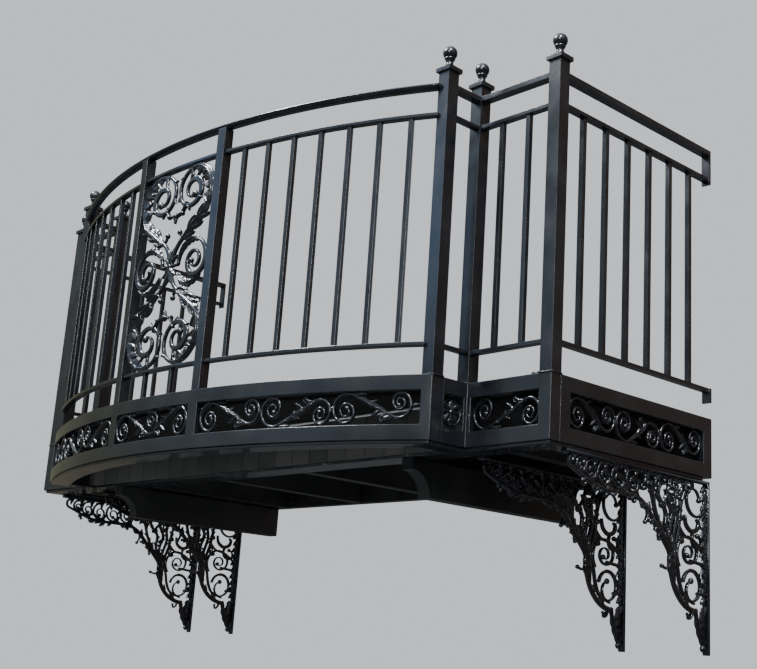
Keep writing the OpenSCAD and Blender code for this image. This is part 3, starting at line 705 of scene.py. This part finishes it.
def brackets():
    """The four brackets are one casting, mirrored on the left."""
    cast = Casting()
    w = BRACKET_W
    path, widths = chain(spot(60, -410), 0, [
        (size(140), 90, w * 1.6), (size(60), -45, w * 1.6), (size(140), 0, w * 1.4),
        (size(130), -45, w * 1.2), (LEVEL, 0, w * 1.1), (size(300), 20, w),
        (size(75), 0, w * 0.8), (size(18), 150, w * 0.7)])
    bracket_strap(cast, path, widths)
    bracket_foot(cast)
    wall_spirals(cast)
    hanging_spirals(cast)
    sheath(cast)
    top_leaves(cast)
    for points, wide in CRESCENTS:
        loop = drawn(points)
        cast.sweep(loop, taper(len(loop), w * 0.5, w * wide, w * 0.6), CAST_T, 0.3)
    strap_leaves(cast, path)
    for x, y, r, turn in SMALL_CURLS:
        curl(cast, spot(x, y), size(r), 200, turn, w * 0.7, 2)
        cast.leaf(bend(spot(x, y + r), spot(x + 16 * turn, y + r + 24), 4 * MM), w * 1.3, CAST_T * 1.1, 3)
    wall_leaves(cast)
    half = BRACKET_BAR / 2
    cast.bar(Vector((0, -half)), Vector((BRACKET_REACH, -half)), BRACKET_BAR, BRACKET_T)
    cast.bar(Vector((half, -BRACKET_H)), Vector((half, 0)), BRACKET_BAR, BRACKET_T)
    flat = list(cast.verts)
    for name in ("bracket_outer", "bracket_inner"):
        low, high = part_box(name + "_right")
        place = Matrix.Translation(((low.x + high.x) / 2, 0, high.z))
        turn = place @ Matrix.Rotation(math.radians(-90), 4, "Z") @ UPRIGHT
        cast.verts = [turn @ v for v in flat]
        replace_pair(cast, "casting_" + name, name)


def bracket_strap(cast, path, widths):
    """The long strap with two balls, the stem inside it round the foot ring, and its hooks."""
    w = BRACKET_W
    cast.sweep(path, widths, CAST_T, 0.3)
    cast.ball(Vector((SHOULDER + LEVEL, spot(0, -92).y)), w * 1.25, CAST_T * 1.3)
    cast.ball(path[-1], w * 0.7, CAST_T)
    stem = drawn([(74, -388), (128, -368), (152, -330), (164, -284), (184, -236)])
    cast.sweep(stem, taper(len(stem), w * 0.6, w * 0.95, w * 0.6), CAST_T, 0.3)
    for points, share in HOOKS:
        hook = drawn(points)
        n = len(hook)
        cast.sweep(hook, [w * share * (1.15 - 0.6 * i / n) for i in range(n)], CAST_T, 0.2)
        cast.ball(hook[-1], w * 0.62 * share, CAST_T)


def bracket_foot(cast):
    """Two leaves that fold down to a ball at the foot."""
    cast.leaf(bend(spot(26, -396), spot(24, -524), 4 * MM), size(46), CAST_T, 5)
    cast.leaf(bend(spot(66, -400), spot(26, -520), 6 * MM), size(30), CAST_T * 1.1, 4)
    cast.ball(spot(24, -520), size(12), CAST_T * 1.2)


def wall_spirals(cast):
    """The spirals down the wall bar, the foot ring, and the stubs that tie them to the bar."""
    w = BRACKET_W
    curl(cast, spot(64, -66), size(52), 180, 1, w, 2)
    curl(cast, spot(56, -188), size(30), 90, -1, w, 2)
    curl(cast, spot(112, -242), size(57), -40, 1, w, 4)
    cast.sweep(line(spot(8, -266), spot(94, -258)), w, CAST_T, 0)
    curl(cast, spot(88, -334), size(47), 80, 1, w * 1.15, 2)
    cast.sweep(arc(spot(88, -334), size(47), 10, 95), w * 0.9, CAST_T, 0.3)
    cast.sweep(line(spot(8, -356), spot(56, -356)), w, CAST_T, 0)


def hanging_spirals(cast):
    """A row of spirals that hang from the top bar, each with a leaf."""
    w = BRACKET_W
    for share, radius in HANGING:
        r = size(radius)
        c = Vector((SHOULDER + share * (BRACKET_REACH - SHOULDER), -(BRACKET_BAR + r + w * 0.4 - BITE)))
        curl(cast, c, r, 90, -1, w * 0.8, 3)
        cast.leaf(bend(c + r * unit(200), c + r * 1.05 * unit(262), -4 * MM), w * 1.7, CAST_T, 3)


def sheath(cast):
    """Stems from the knot that curl and leaf under the top bar, with small leaves along them."""
    w = BRACKET_W
    r = size(13)
    for points, turn in SHEATH:
        stem = drawn(points)
        n = len(stem)
        cast.sweep(stem, taper(n, w * 0.5, w * 1.0, w * 0.6), CAST_T * 1.1, 0.3)
        loop = spiral(stem[-1] - Vector((turn * r, 0)), r, 0 if turn > 0 else 180, turn, 2)
        cast.sweep(loop, w * 0.7, CAST_T * 1.1, 0)
        cast.ball(loop[-1], w * 0.5, CAST_T * 1.2)
        tip = Vector((stem[-1].x - turn * r * 0.5, -size(4)))
        cast.leaf(bend(stem[-1], tip, 4 * MM * turn), w * 1.5, CAST_T, 3)
        for k in range(3, n - 2, 3):
            s = 1 if k % 2 else -1
            ahead = (stem[k + 1] - stem[k]).normalized()
            tip = stem[k] + ahead * size(24) + Vector((-ahead.y, ahead.x)) * s * size(14)
            cast.leaf(bend(stem[k], tip, -s * 5 * MM), w * 1.35, CAST_T * 1.2, 3)
    knot = drawn([(180, -330), (188, -280), (196, -230), (204, -196)])
    cast.leaf(knot, w * 2.2, CAST_T * 1.35, 6)


def top_leaves(cast):
    """Small leaves and buds under the top bar."""
    w = BRACKET_W
    for k in range(24):
        x = 96 + 25 * k
        s = 1 if k % 2 else -1
        cast.leaf(bend(spot(x, -6), spot(x + 14 * s, -36), 5 * MM * s), w * 1.4, CAST_T * 1.15, 3)
        cast.ball(spot(x + 12, -16), w * 0.4, CAST_T)


def strap_leaves(cast, path):
    """Leaves on both sides of the long strap, and a scalloped edge outside its upper half."""
    w = BRACKET_W
    n = len(path)
    for k in range(10):
        i = int(n * (0.06 + 0.084 * k))
        ahead = (path[i + 1] - path[i]).normalized()
        inward = Vector((-ahead.y, ahead.x))
        long = size(30 if k % 2 else 40)
        tip = path[i] + inward * long * 0.75 + ahead * long
        cast.leaf(bend(path[i], tip, -5 * MM), w * 2.1, CAST_T * 1.1, 4)
        if k in (2, 4, 6, 8):
            tip = path[i] - inward * long * 0.35 + ahead * long * 0.9
            cast.leaf(bend(path[i], tip, 4 * MM), w * 1.7, CAST_T, 3)
    for k in range(11):
        i = int(n * (0.42 + 0.045 * k))
        ahead = (path[i + 1] - path[i]).normalized()
        out = Vector((ahead.y, -ahead.x))
        back = -1 if k % 2 else 1
        tip = path[i] + out * size(19) + ahead * back * size(13)
        cast.leaf(bend(path[i], tip, 4 * MM * back), w * 1.9, CAST_T * 1.2, 3)
        if k % 3 == 1:
            cast.ball(path[i] + out * size(17), w * 0.55, CAST_T * 1.1)


def wall_leaves(cast):
    """A leafy strip down the wall bar, and leaves from it beside the spirals."""
    w = BRACKET_W
    for k in range(13):
        y = -24 - 29 * k
        cast.leaf(bend(spot(8, y), spot(34 + 6 * (k % 2), y - 16), 5 * MM), w * 2.0, CAST_T * 1.25, 3)
    cast.leaf(line(spot(18, -396), spot(18, -14), 12 * MM), size(26), CAST_T * 1.3, 13, 0.25)
    for y, lean in ((-30, -1), (-118, 1), (-205, -1), (-300, 1), (-322, -1), (-392, -1)):
        cast.leaf(bend(spot(9, y), spot(34, y + 36 * lean), 4 * MM * lean), w * 2.2, CAST_T * 1.1, 4)


def trim(cast, name, paint):
    """Makes a piece that isn't cast, and gives it its paint."""
    obj = cast.piece(name)
    obj.data.materials.append(paint)
    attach(obj, "root")
    return obj


def hex_bolts():
    """Hexagon heads with washers in the ledger's holes."""
    face = span("ledger", 1)[0]
    cast = Casting()
    for x in (-BOLT_X3, -BOLT_X2, 0, BOLT_X2, BOLT_X3):
        for z in (-BOLT_PAIR_H / 2, BOLT_PAIR_H / 2):
            cast.place = facing(x, face, z, 0)
            for r, z0, z1, sides in ((WASHER_R, 0, WASHER_T, 24), (HEAD_R, WASHER_T, HEAD_TOP, 6)):
                turns = [2 * math.pi * k / sides for k in range(sides)]
                steps = ((r - HEAD_EASE, z1), (r, z1 - HEAD_EASE), (r, z0))
                cast.add([[(rr * math.cos(a), -rr * math.sin(a), zz) for a in turns] for rr, zz in steps])
    trim(cast, "ledger_bolts", UNDER)


def each_post():
    """The posts' names, with the side that each is on."""
    kinds = ("corner", "inner", "bow")
    return [(kind + "_" + side, side) for side in ("left", "right") for kind in kinds]


def post_feet():
    """A weld bead round each post's foot, and the corner posts' foot tabs."""
    base = span("fascia_bow", 2)[1]
    for post, side in each_post():
        low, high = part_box("post_" + post)
        cast = Casting()
        cast.place = Matrix.Translation(((low.x + high.x) / 2, (low.y + high.y) / 2, base + WELD_R * 0.4))
        square = ((-1, -1), (1, -1), (1, 1), (-1, 1), (-1, -1))
        corners = [Vector(c) * (POST_HALF + WELD_R * 0.3) for c in square]
        for a, b in zip(corners, corners[1:]):
            cast.sweep(line(a, b, 8 * MM), 2 * WELD_R, 2 * WELD_R, 0, 8)
        if post.startswith("corner"):
            inward = -1 if side == "right" else 1
            start = Vector((inward * POST_HALF, 0))
            cast.bar(start, start + Vector((inward * TAB_L, 0)), TAB_W, TAB_T)
        trim(cast, "foot_" + post, ENAMEL)


def finials():
    """A full ball over a flared cup, round each post's neck."""
    rows = 20
    sides = 32
    turns = [2 * math.pi * k / sides for k in range(sides)]
    for post, _ in each_post():
        low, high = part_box("post_" + post)
        outline = [(high.z - CAP_TO_TOP + z * MM, r * MM) for z, r in CUP]
        for i in range(rows + 1):
            a = math.pi * (BALL_FROM + (BALL_TO - BALL_FROM) * i / rows)
            outline.append((high.z - BALL_R - BALL_R * math.cos(a), BALL_R * math.sin(a)))
        cast = Casting()
        cast.place = Matrix.Translation(((low.x + high.x) / 2, (low.y + high.y) / 2, 0))
        cast.add([[(r * math.cos(a), r * math.sin(a), z) for a in turns] for z, r in outline])
        trim(cast, "finial_" + post, ENAMEL)


def handrail():
    """The bow's handrail, with rounded top edges and sides that lean in towards the foot."""
    low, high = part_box("top_rail_bow")
    half_h = (high.z - low.z) / 2
    edge_steps = 6
    right = []
    for k in range(edge_steps + 1):
        a = math.pi / 2 * k / edge_steps
        right.append((RAIL_W / 2 - RAIL_EASE * (1 - math.sin(a)), half_h - RAIL_EASE * (1 - math.cos(a))))
    right.append((RAIL_W / 2 - RAIL_LEAN, -half_h))
    outline = right + [(-s, up) for s, up in reversed(right)]
    out_r = BOW_Y - low.y
    mid_r = out_r - RAIL_W / 2
    half_steps = 45
    rings = []
    for k in range(-half_steps, half_steps + 1):
        a = math.asin(high.x / out_r) * k / half_steps
        rings.append([((mid_r + s) * math.sin(a), BOW_Y - (mid_r + s) * math.cos(a), low.z + half_h + up)
                      for s, up in outline])
    cast = Casting()
    cast.add(rings)
    obj = trim(cast, "handrail_bow", ENAMEL)
    even_shading(obj)
    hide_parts("top_rail_bow")


def header_painted_highlight():
    """A pale round strip in the corner between the header's face and the deck, seen through the bow's slots:
    a painted highlight that stands in for a line of light there.
    """
    half = BOW_HALF - FASCIA_T - BEAD_END
    cast = Casting()
    cast.place = facing(0, -FRONT_D - BEAD_R * 0.6, span("header", 2)[1] - BEAD_R, 0)
    cast.sweep(line(Vector((-half, 0)), Vector((half, 0)), 60 * MM), 2 * BEAD_R, 2 * BEAD_R, 0, 8)
    trim(cast, "header_painted_highlight", PAINTED_HIGHLIGHT)


# Materials

def nodes_of(mat):
    """A material's or a world's nodes and links."""
    return mat.node_tree.nodes, mat.node_tree.links


def noise(mat, scale, detail, stretch=(1, 1, 1)):
    """A noise in the object's own metres."""
    nodes, links = nodes_of(mat)
    where = nodes.new("ShaderNodeTexCoord")
    mapping = nodes.new("ShaderNodeMapping")
    mapping.inputs["Scale"].default_value = stretch
    tex = nodes.new("ShaderNodeTexNoise")
    tex.inputs["Scale"].default_value = scale
    tex.inputs["Detail"].default_value = detail
    links.new(where.outputs["Object"], mapping.inputs["Vector"])
    links.new(mapping.outputs["Vector"], tex.inputs["Vector"])
    return tex.outputs["Fac"]


def ramp(mat, value, low, high, out_low=0, out_high=1):
    """Maps a value from one range to another, and holds it there."""
    nodes, links = nodes_of(mat)
    node = nodes.new("ShaderNodeMapRange")
    node.inputs["From Min"].default_value = low
    node.inputs["From Max"].default_value = high
    node.inputs["To Min"].default_value = out_low
    node.inputs["To Max"].default_value = out_high
    links.new(value, node.inputs["Value"])
    return node.outputs["Result"]


def blend(mat, fac, a, b):
    """Mixes two colours, each a triple or a socket."""
    nodes, links = nodes_of(mat)
    node = nodes.new("ShaderNodeMix")
    node.data_type = "RGBA"
    links.new(fac, node.inputs[0])
    for socket, value in ((node.inputs[6], a), (node.inputs[7], b)):
        if isinstance(value, tuple):
            socket.default_value = (*value, 1)
        else:
            links.new(value, socket)
    return node.outputs[2]


def compute(mat, operation, a, b=0.0):
    """A sum on a socket, and on a number or another socket."""
    nodes, links = nodes_of(mat)
    node = nodes.new("ShaderNodeMath")
    node.operation = operation
    links.new(a, node.inputs[0])
    if isinstance(b, float):
        node.inputs[1].default_value = b
    else:
        links.new(b, node.inputs[1])
    return node.outputs[0]


def multiply(mat, *values):
    product = values[0]
    for value in values[1:]:
        product = compute(mat, "MULTIPLY", product, value)
    return product


def split(mat, vector):
    """The x, y and z of a vector socket."""
    nodes, links = nodes_of(mat)
    node = nodes.new("ShaderNodeSeparateXYZ")
    links.new(vector, node.inputs[0])
    return node.outputs


def bump(mat, value, strength, distance, over=None):
    """A normal that a value raises, over the plain one or over another bump."""
    nodes, links = nodes_of(mat)
    node = nodes.new("ShaderNodeBump")
    node.inputs["Strength"].default_value = strength
    node.inputs["Distance"].default_value = distance
    links.new(value, node.inputs["Height"])
    if over is not None:
        links.new(over, node.inputs["Normal"])
    return node.outputs["Normal"]


def upward(mat):
    """1 on faces that look up, 0 on the rest."""
    geometry = mat.node_tree.nodes.new("ShaderNodeNewGeometry")
    z = split(mat, geometry.outputs["Normal"])[2]
    return ramp(mat, z, 0.55, 0.95)


# Noises in the paint, in waves for each metre
CLOUDS = 9
DUST_SPOTS = 60
PITS = 130
# How much rougher the paint is in a cloud, and how rough its clear coat is
CLOUD_ROUGH = 0.14
COAT_ROUGH = 0.07
# The panels on the header: their pitch, and a joint's share of it
PANEL_PITCH = 92 * MM
JOINT_SHARE = 0.09
JOINT = (0.002, 0.002, 0.002)
PANEL_PALE = (0.06, 0.057, 0.048)


def enamel(name, dark, light, dust, rough, grain, grain_depth, coat=0.5, pit_depth=0):
    """Gloss paint on iron: a brushed skin, cloudy sheen, pits in a casting, and dust where it lies."""
    mat = plain(name, dark, rough)
    nodes, links = nodes_of(mat)
    bsdf = nodes["Principled BSDF"]
    cloud = noise(mat, CLOUDS, 5)
    fine = noise(mat, grain, 3)
    color = blend(mat, ramp(mat, cloud, 0.35, 0.7), dark, light)
    lies = multiply(mat, upward(mat), ramp(mat, noise(mat, DUST_SPOTS, 6), 0.3, 0.75, 0.08, 0.4))
    color = blend(mat, lies, color, dust)
    links.new(color, bsdf.inputs["Base Color"])
    links.new(ramp(mat, cloud, 0.3, 0.75, rough, rough + CLOUD_ROUGH), bsdf.inputs["Roughness"])
    bsdf.inputs["Coat Weight"].default_value = coat
    bsdf.inputs["Coat Roughness"].default_value = COAT_ROUGH
    skin = bump(mat, fine, 0.15, grain_depth)
    if pit_depth:
        skin = bump(mat, noise(mat, PITS, 1.5), 0.6, pit_depth, skin)
        links.new(skin, bsdf.inputs["Coat Normal"])
    links.new(skin, bsdf.inputs["Normal"])
    return mat


def boards(name, dark, light):
    """Weathered deck boards that run along the wall."""
    mat = plain(name, dark, 0.7)
    nodes, links = nodes_of(mat)
    bsdf = nodes["Principled BSDF"]
    grain = noise(mat, 14, 8, (1, 12, 12))
    links.new(blend(mat, ramp(mat, grain, 0.3, 0.7), dark, light), bsdf.inputs["Base Color"])
    links.new(bump(mat, grain, 0.4, 1.0 * MM), bsdf.inputs["Normal"])
    return mat


def panelled(mat):
    """Turns a paint into narrow upright panels, some paler, with dark joints between them."""
    nodes, links = nodes_of(mat)
    bsdf = nodes["Principled BSDF"]
    where = nodes.new("ShaderNodeTexCoord")
    count = compute(mat, "DIVIDE", split(mat, where.outputs["Object"])[0], PANEL_PITCH)
    tone = nodes.new("ShaderNodeTexWhiteNoise")
    tone.noise_dimensions = "1D"
    links.new(compute(mat, "FLOOR", count), tone.inputs["W"])
    paint = bsdf.inputs["Base Color"].links[0].from_socket
    pale = blend(mat, ramp(mat, tone.outputs["Value"], 0, 1, 0, 0.8), paint, PANEL_PALE)
    gap = ramp(mat, compute(mat, "FRACT", count), 0, JOINT_SHARE)
    links.new(blend(mat, gap, JOINT, pale), bsdf.inputs["Base Color"])
    return mat


def plain(name, color, rough):
    """One colour all over."""
    mat = bpy.data.materials.new(name)
    mat.use_nodes = True
    bsdf = mat.node_tree.nodes["Principled BSDF"]
    bsdf.inputs["Base Color"].default_value = (*color, 1)
    bsdf.inputs["Roughness"].default_value = rough
    return mat


DUST = (0.04, 0.04, 0.038)
ENAMEL = enamel("frame_enamel", (0.006, 0.007, 0.009), (0.013, 0.014, 0.016), (0.07, 0.07, 0.065),
                rough=0.16, grain=260, grain_depth=0.15 * MM)
CASTING = enamel("casting_enamel", (0.004, 0.004, 0.005), (0.009, 0.009, 0.011), DUST,
                 rough=0.1, grain=420, grain_depth=0.25 * MM, coat=0.8, pit_depth=1.2 * MM)
UNDER = enamel("under_enamel", (0.009, 0.009, 0.009), (0.017, 0.016, 0.014), DUST,
               rough=0.4, grain=160, grain_depth=0.3 * MM, coat=0.1)
BOARD = boards("deck_board", (0.006, 0.005, 0.0045), (0.016, 0.013, 0.011))
HEADER = panelled(enamel("header_paint", (0.026, 0.026, 0.023), (0.042, 0.041, 0.034), DUST,
                         rough=0.5, grain=160, grain_depth=0.3 * MM, coat=0.1))
# A pale grey for the strip along the header's top edge: a painted highlight, the line of light seen through
# the bow's slots
PAINTED_HIGHLIGHT = plain("bead", (0.45, 0.45, 0.44), 0.5)
SLOTS = {"frame_paint": ENAMEL, "casting_paint": CASTING, "deck_board": BOARD, "ledger_paint": UNDER}


def even_shading(obj):
    """Keeps the wide faces flat to the eye beside narrow ones."""
    even = obj.modifiers.new("even", "WEIGHTED_NORMAL")
    even.mode = "FACE_AREA"
    even.weight = 100


# Points closer than this are one, and faces that turn less than this are one
WELD_WITHIN = 0.01 * MM
FLAT_WITHIN = math.radians(0.4)
# Edges sharper than this are eased
SHARP_OVER = math.radians(40)


def dress_frame():
    """Gives each CAD node its finish and eases its edges."""
    for part in frame["record"]["subparts"]:
        node = NODES[part["node"]]
        node.data.materials.clear()
        node.data.materials.append(HEADER if part["node"] == "header" else SLOTS[part["material_slot"]])
        node.data.polygons.foreach_set("use_smooth", [True] * len(node.data.polygons))
        weld = node.modifiers.new("weld", "WELD")
        weld.merge_threshold = WELD_WITHIN
        merge = node.modifiers.new("merge", "DECIMATE")
        merge.decimate_type = "DISSOLVE"
        merge.angle_limit = FLAT_WITHIN
        ease = node.modifiers.new("ease", "BEVEL")
        ease.width = EDGE_EASE
        ease.segments = 2
        ease.limit_method = "ANGLE"
        ease.angle_limit = SHARP_OVER
        ease.use_clamp_overlap = True
        even_shading(node)


# The floor as the camera sees it, and as the paint reflects it
FLOOR_Z = -5.0
FLOOR = (0.78, 0.77, 0.75)
FLOOR_REFLECTED = (0.055, 0.05, 0.045)


def stage():
    """A pale floor for the camera, dark where the paint reflects it."""
    bpy.ops.mesh.primitive_plane_add(size=60, location=(0, 0, FLOOR_Z))
    floor = bpy.context.object
    floor.name = "floor"
    mat = plain("floor", FLOOR, 0.7)
    nodes, links = nodes_of(mat)
    eye = nodes.new("ShaderNodeLightPath")
    color = blend(mat, eye.outputs["Is Glossy Ray"], FLOOR, FLOOR_REFLECTED)
    links.new(color, nodes["Principled BSDF"].inputs["Base Color"])
    floor.data.materials.append(mat)


def light(name, where, target, energy, size, color):
    """A square lamp that faces its target."""
    data = bpy.data.lights.new(name, "AREA")
    data.energy = energy
    data.shape = "SQUARE"
    data.size = size
    data.color = color
    lamp = bpy.data.objects.new(name, data)
    bpy.context.scene.collection.objects.link(lamp)
    lamp.location = where
    lamp.rotation_euler = (Vector(target) - Vector(where)).to_track_quat("-Z", "Y").to_euler()


# What the paint reflects: greenery to the left, open air in front, a wall to the right, the sky above
LEAFY = (0.15, 0.155, 0.1)
OPEN_AIR = (0.40, 0.49, 0.58)
BRICK = (0.16, 0.105, 0.07)
TREES = (0.15, 0.19, 0.18)
CLEAR = (0.5, 0.82, 1.35)
GROUND = (0.025, 0.024, 0.022)
WALL_FOOT = (0.16, 0.14, 0.1)
ZENITH = (1.5, 1.7, 2.0)
GLINT = (26.0, 27.0, 28.5)
GLINT_AT = (0.42, -0.865, 0.27)
BACKDROP = (0.74, 0.77, 0.80)

# Where each sets in and is whole, along a direction's x (right), y (to the wall) and z (up)
OPEN_AIR_X = (-0.95, -0.35)
BRICK_X, BRICK_Y = (-0.2, 0.4), (0.1, 0.5)
TREES_X, TREES_Y, TREES_Z = (-0.25, 0.0), (-0.5, -0.7), (0.19, 0.15)
OUTSIDE_Y = (0.25, 0.0)
CLEAR_LEFT_X, CLEAR_RIGHT_X, CLEAR_Z = (-0.8, -0.76), (-0.63, -0.68), (0.2, 0.3)
ZENITH_Z = (0.38, 0.75)
WALL_FOOT_X = (-0.8, -0.88)
HORIZON_Z = (0.0, 0.06)
GLINT_EDGE = (0.988, 0.996)


def sky():
    """A pale backdrop for the camera, and a darker soft sky for what the paint reflects."""
    world = bpy.data.worlds.new("world")
    bpy.context.scene.world = world
    world.use_nodes = True
    nodes, links = nodes_of(world)
    where = nodes.new("ShaderNodeTexCoord")
    x, y, z = split(world, where.outputs["Generated"])
    color = blend(world, ramp(world, x, *OPEN_AIR_X), LEAFY, OPEN_AIR)
    behind = multiply(world, ramp(world, y, *BRICK_Y), ramp(world, x, *BRICK_X))
    color = blend(world, behind, color, BRICK)
    shade = multiply(world, ramp(world, z, *TREES_Z), ramp(world, x, *TREES_X), ramp(world, y, *TREES_Y))
    color = blend(world, shade, color, TREES)
    outside = ramp(world, y, *OUTSIDE_Y)
    clear = multiply(world, ramp(world, z, *CLEAR_Z), outside,
                     ramp(world, x, *CLEAR_LEFT_X), ramp(world, x, *CLEAR_RIGHT_X))
    color = blend(world, clear, color, CLEAR)
    color = blend(world, multiply(world, ramp(world, z, *ZENITH_Z), outside), color, ZENITH)
    below = blend(world, ramp(world, x, *WALL_FOOT_X), GROUND, WALL_FOOT)
    color = blend(world, ramp(world, z, *HORIZON_Z), below, color)
    near = nodes.new("ShaderNodeVectorMath")
    near.operation = "DOT_PRODUCT"
    near.inputs[1].default_value = GLINT_AT
    links.new(where.outputs["Generated"], near.inputs[0])
    color = blend(world, ramp(world, near.outputs["Value"], *GLINT_EDGE), color, GLINT)
    eye = nodes.new("ShaderNodeLightPath")
    color = blend(world, eye.outputs["Is Camera Ray"], color, BACKDROP)
    links.new(color, nodes["Background"].inputs[0])
    nodes["Background"].inputs[1].default_value = 1.0


def camera():
    """The photograph's camera: its place, its turn about the upright, its tilt and its roll."""
    data = bpy.data.cameras.new("camera")
    data.sensor_width = SENSOR
    data.lens = SENSOR * FOCAL_PX / IMAGE_W
    data.shift_x, data.shift_y = SHIFT
    cam = bpy.data.objects.new("camera", data)
    bpy.context.scene.collection.objects.link(cam)
    ahead = Vector((-math.sin(YAW) * math.cos(PITCH), math.cos(YAW) * math.cos(PITCH), math.sin(PITCH)))
    right = Vector((math.cos(YAW), math.sin(YAW), 0))
    up = right.cross(ahead)
    right_r = right * math.cos(ROLL) + up * math.sin(ROLL)
    up_r = -right * math.sin(ROLL) + up * math.cos(ROLL)
    turn = Matrix((right_r, up_r, -ahead)).transposed().to_4x4()
    cam.matrix_world = Matrix.Translation(EYE) @ turn
    bpy.context.scene.camera = cam


dress_frame()
bow_centre()
bow_bay()
front_bay()
side_run()
rosettes()
scroll_panel()
brackets()
hex_bolts()
header_painted_highlight()
post_feet()
finials()
handrail()
sky()
stage()
light("key", (-2.5, -4.0, 6.0), (0, -0.5, 0.3), energy=500, size=2.5, color=(0.9, 0.95, 1.0))
light("sparkle_left", (-2.0, -3.5, 4.5), (0, -1.0, 0.4), energy=160, size=0.6, color=(0.92, 0.95, 1.0))
light("sparkle_right", (3.5, -3.0, 4.5), (0.8, -0.5, 0.0), energy=260, size=0.8, color=(0.95, 0.96, 1.0))
camera()
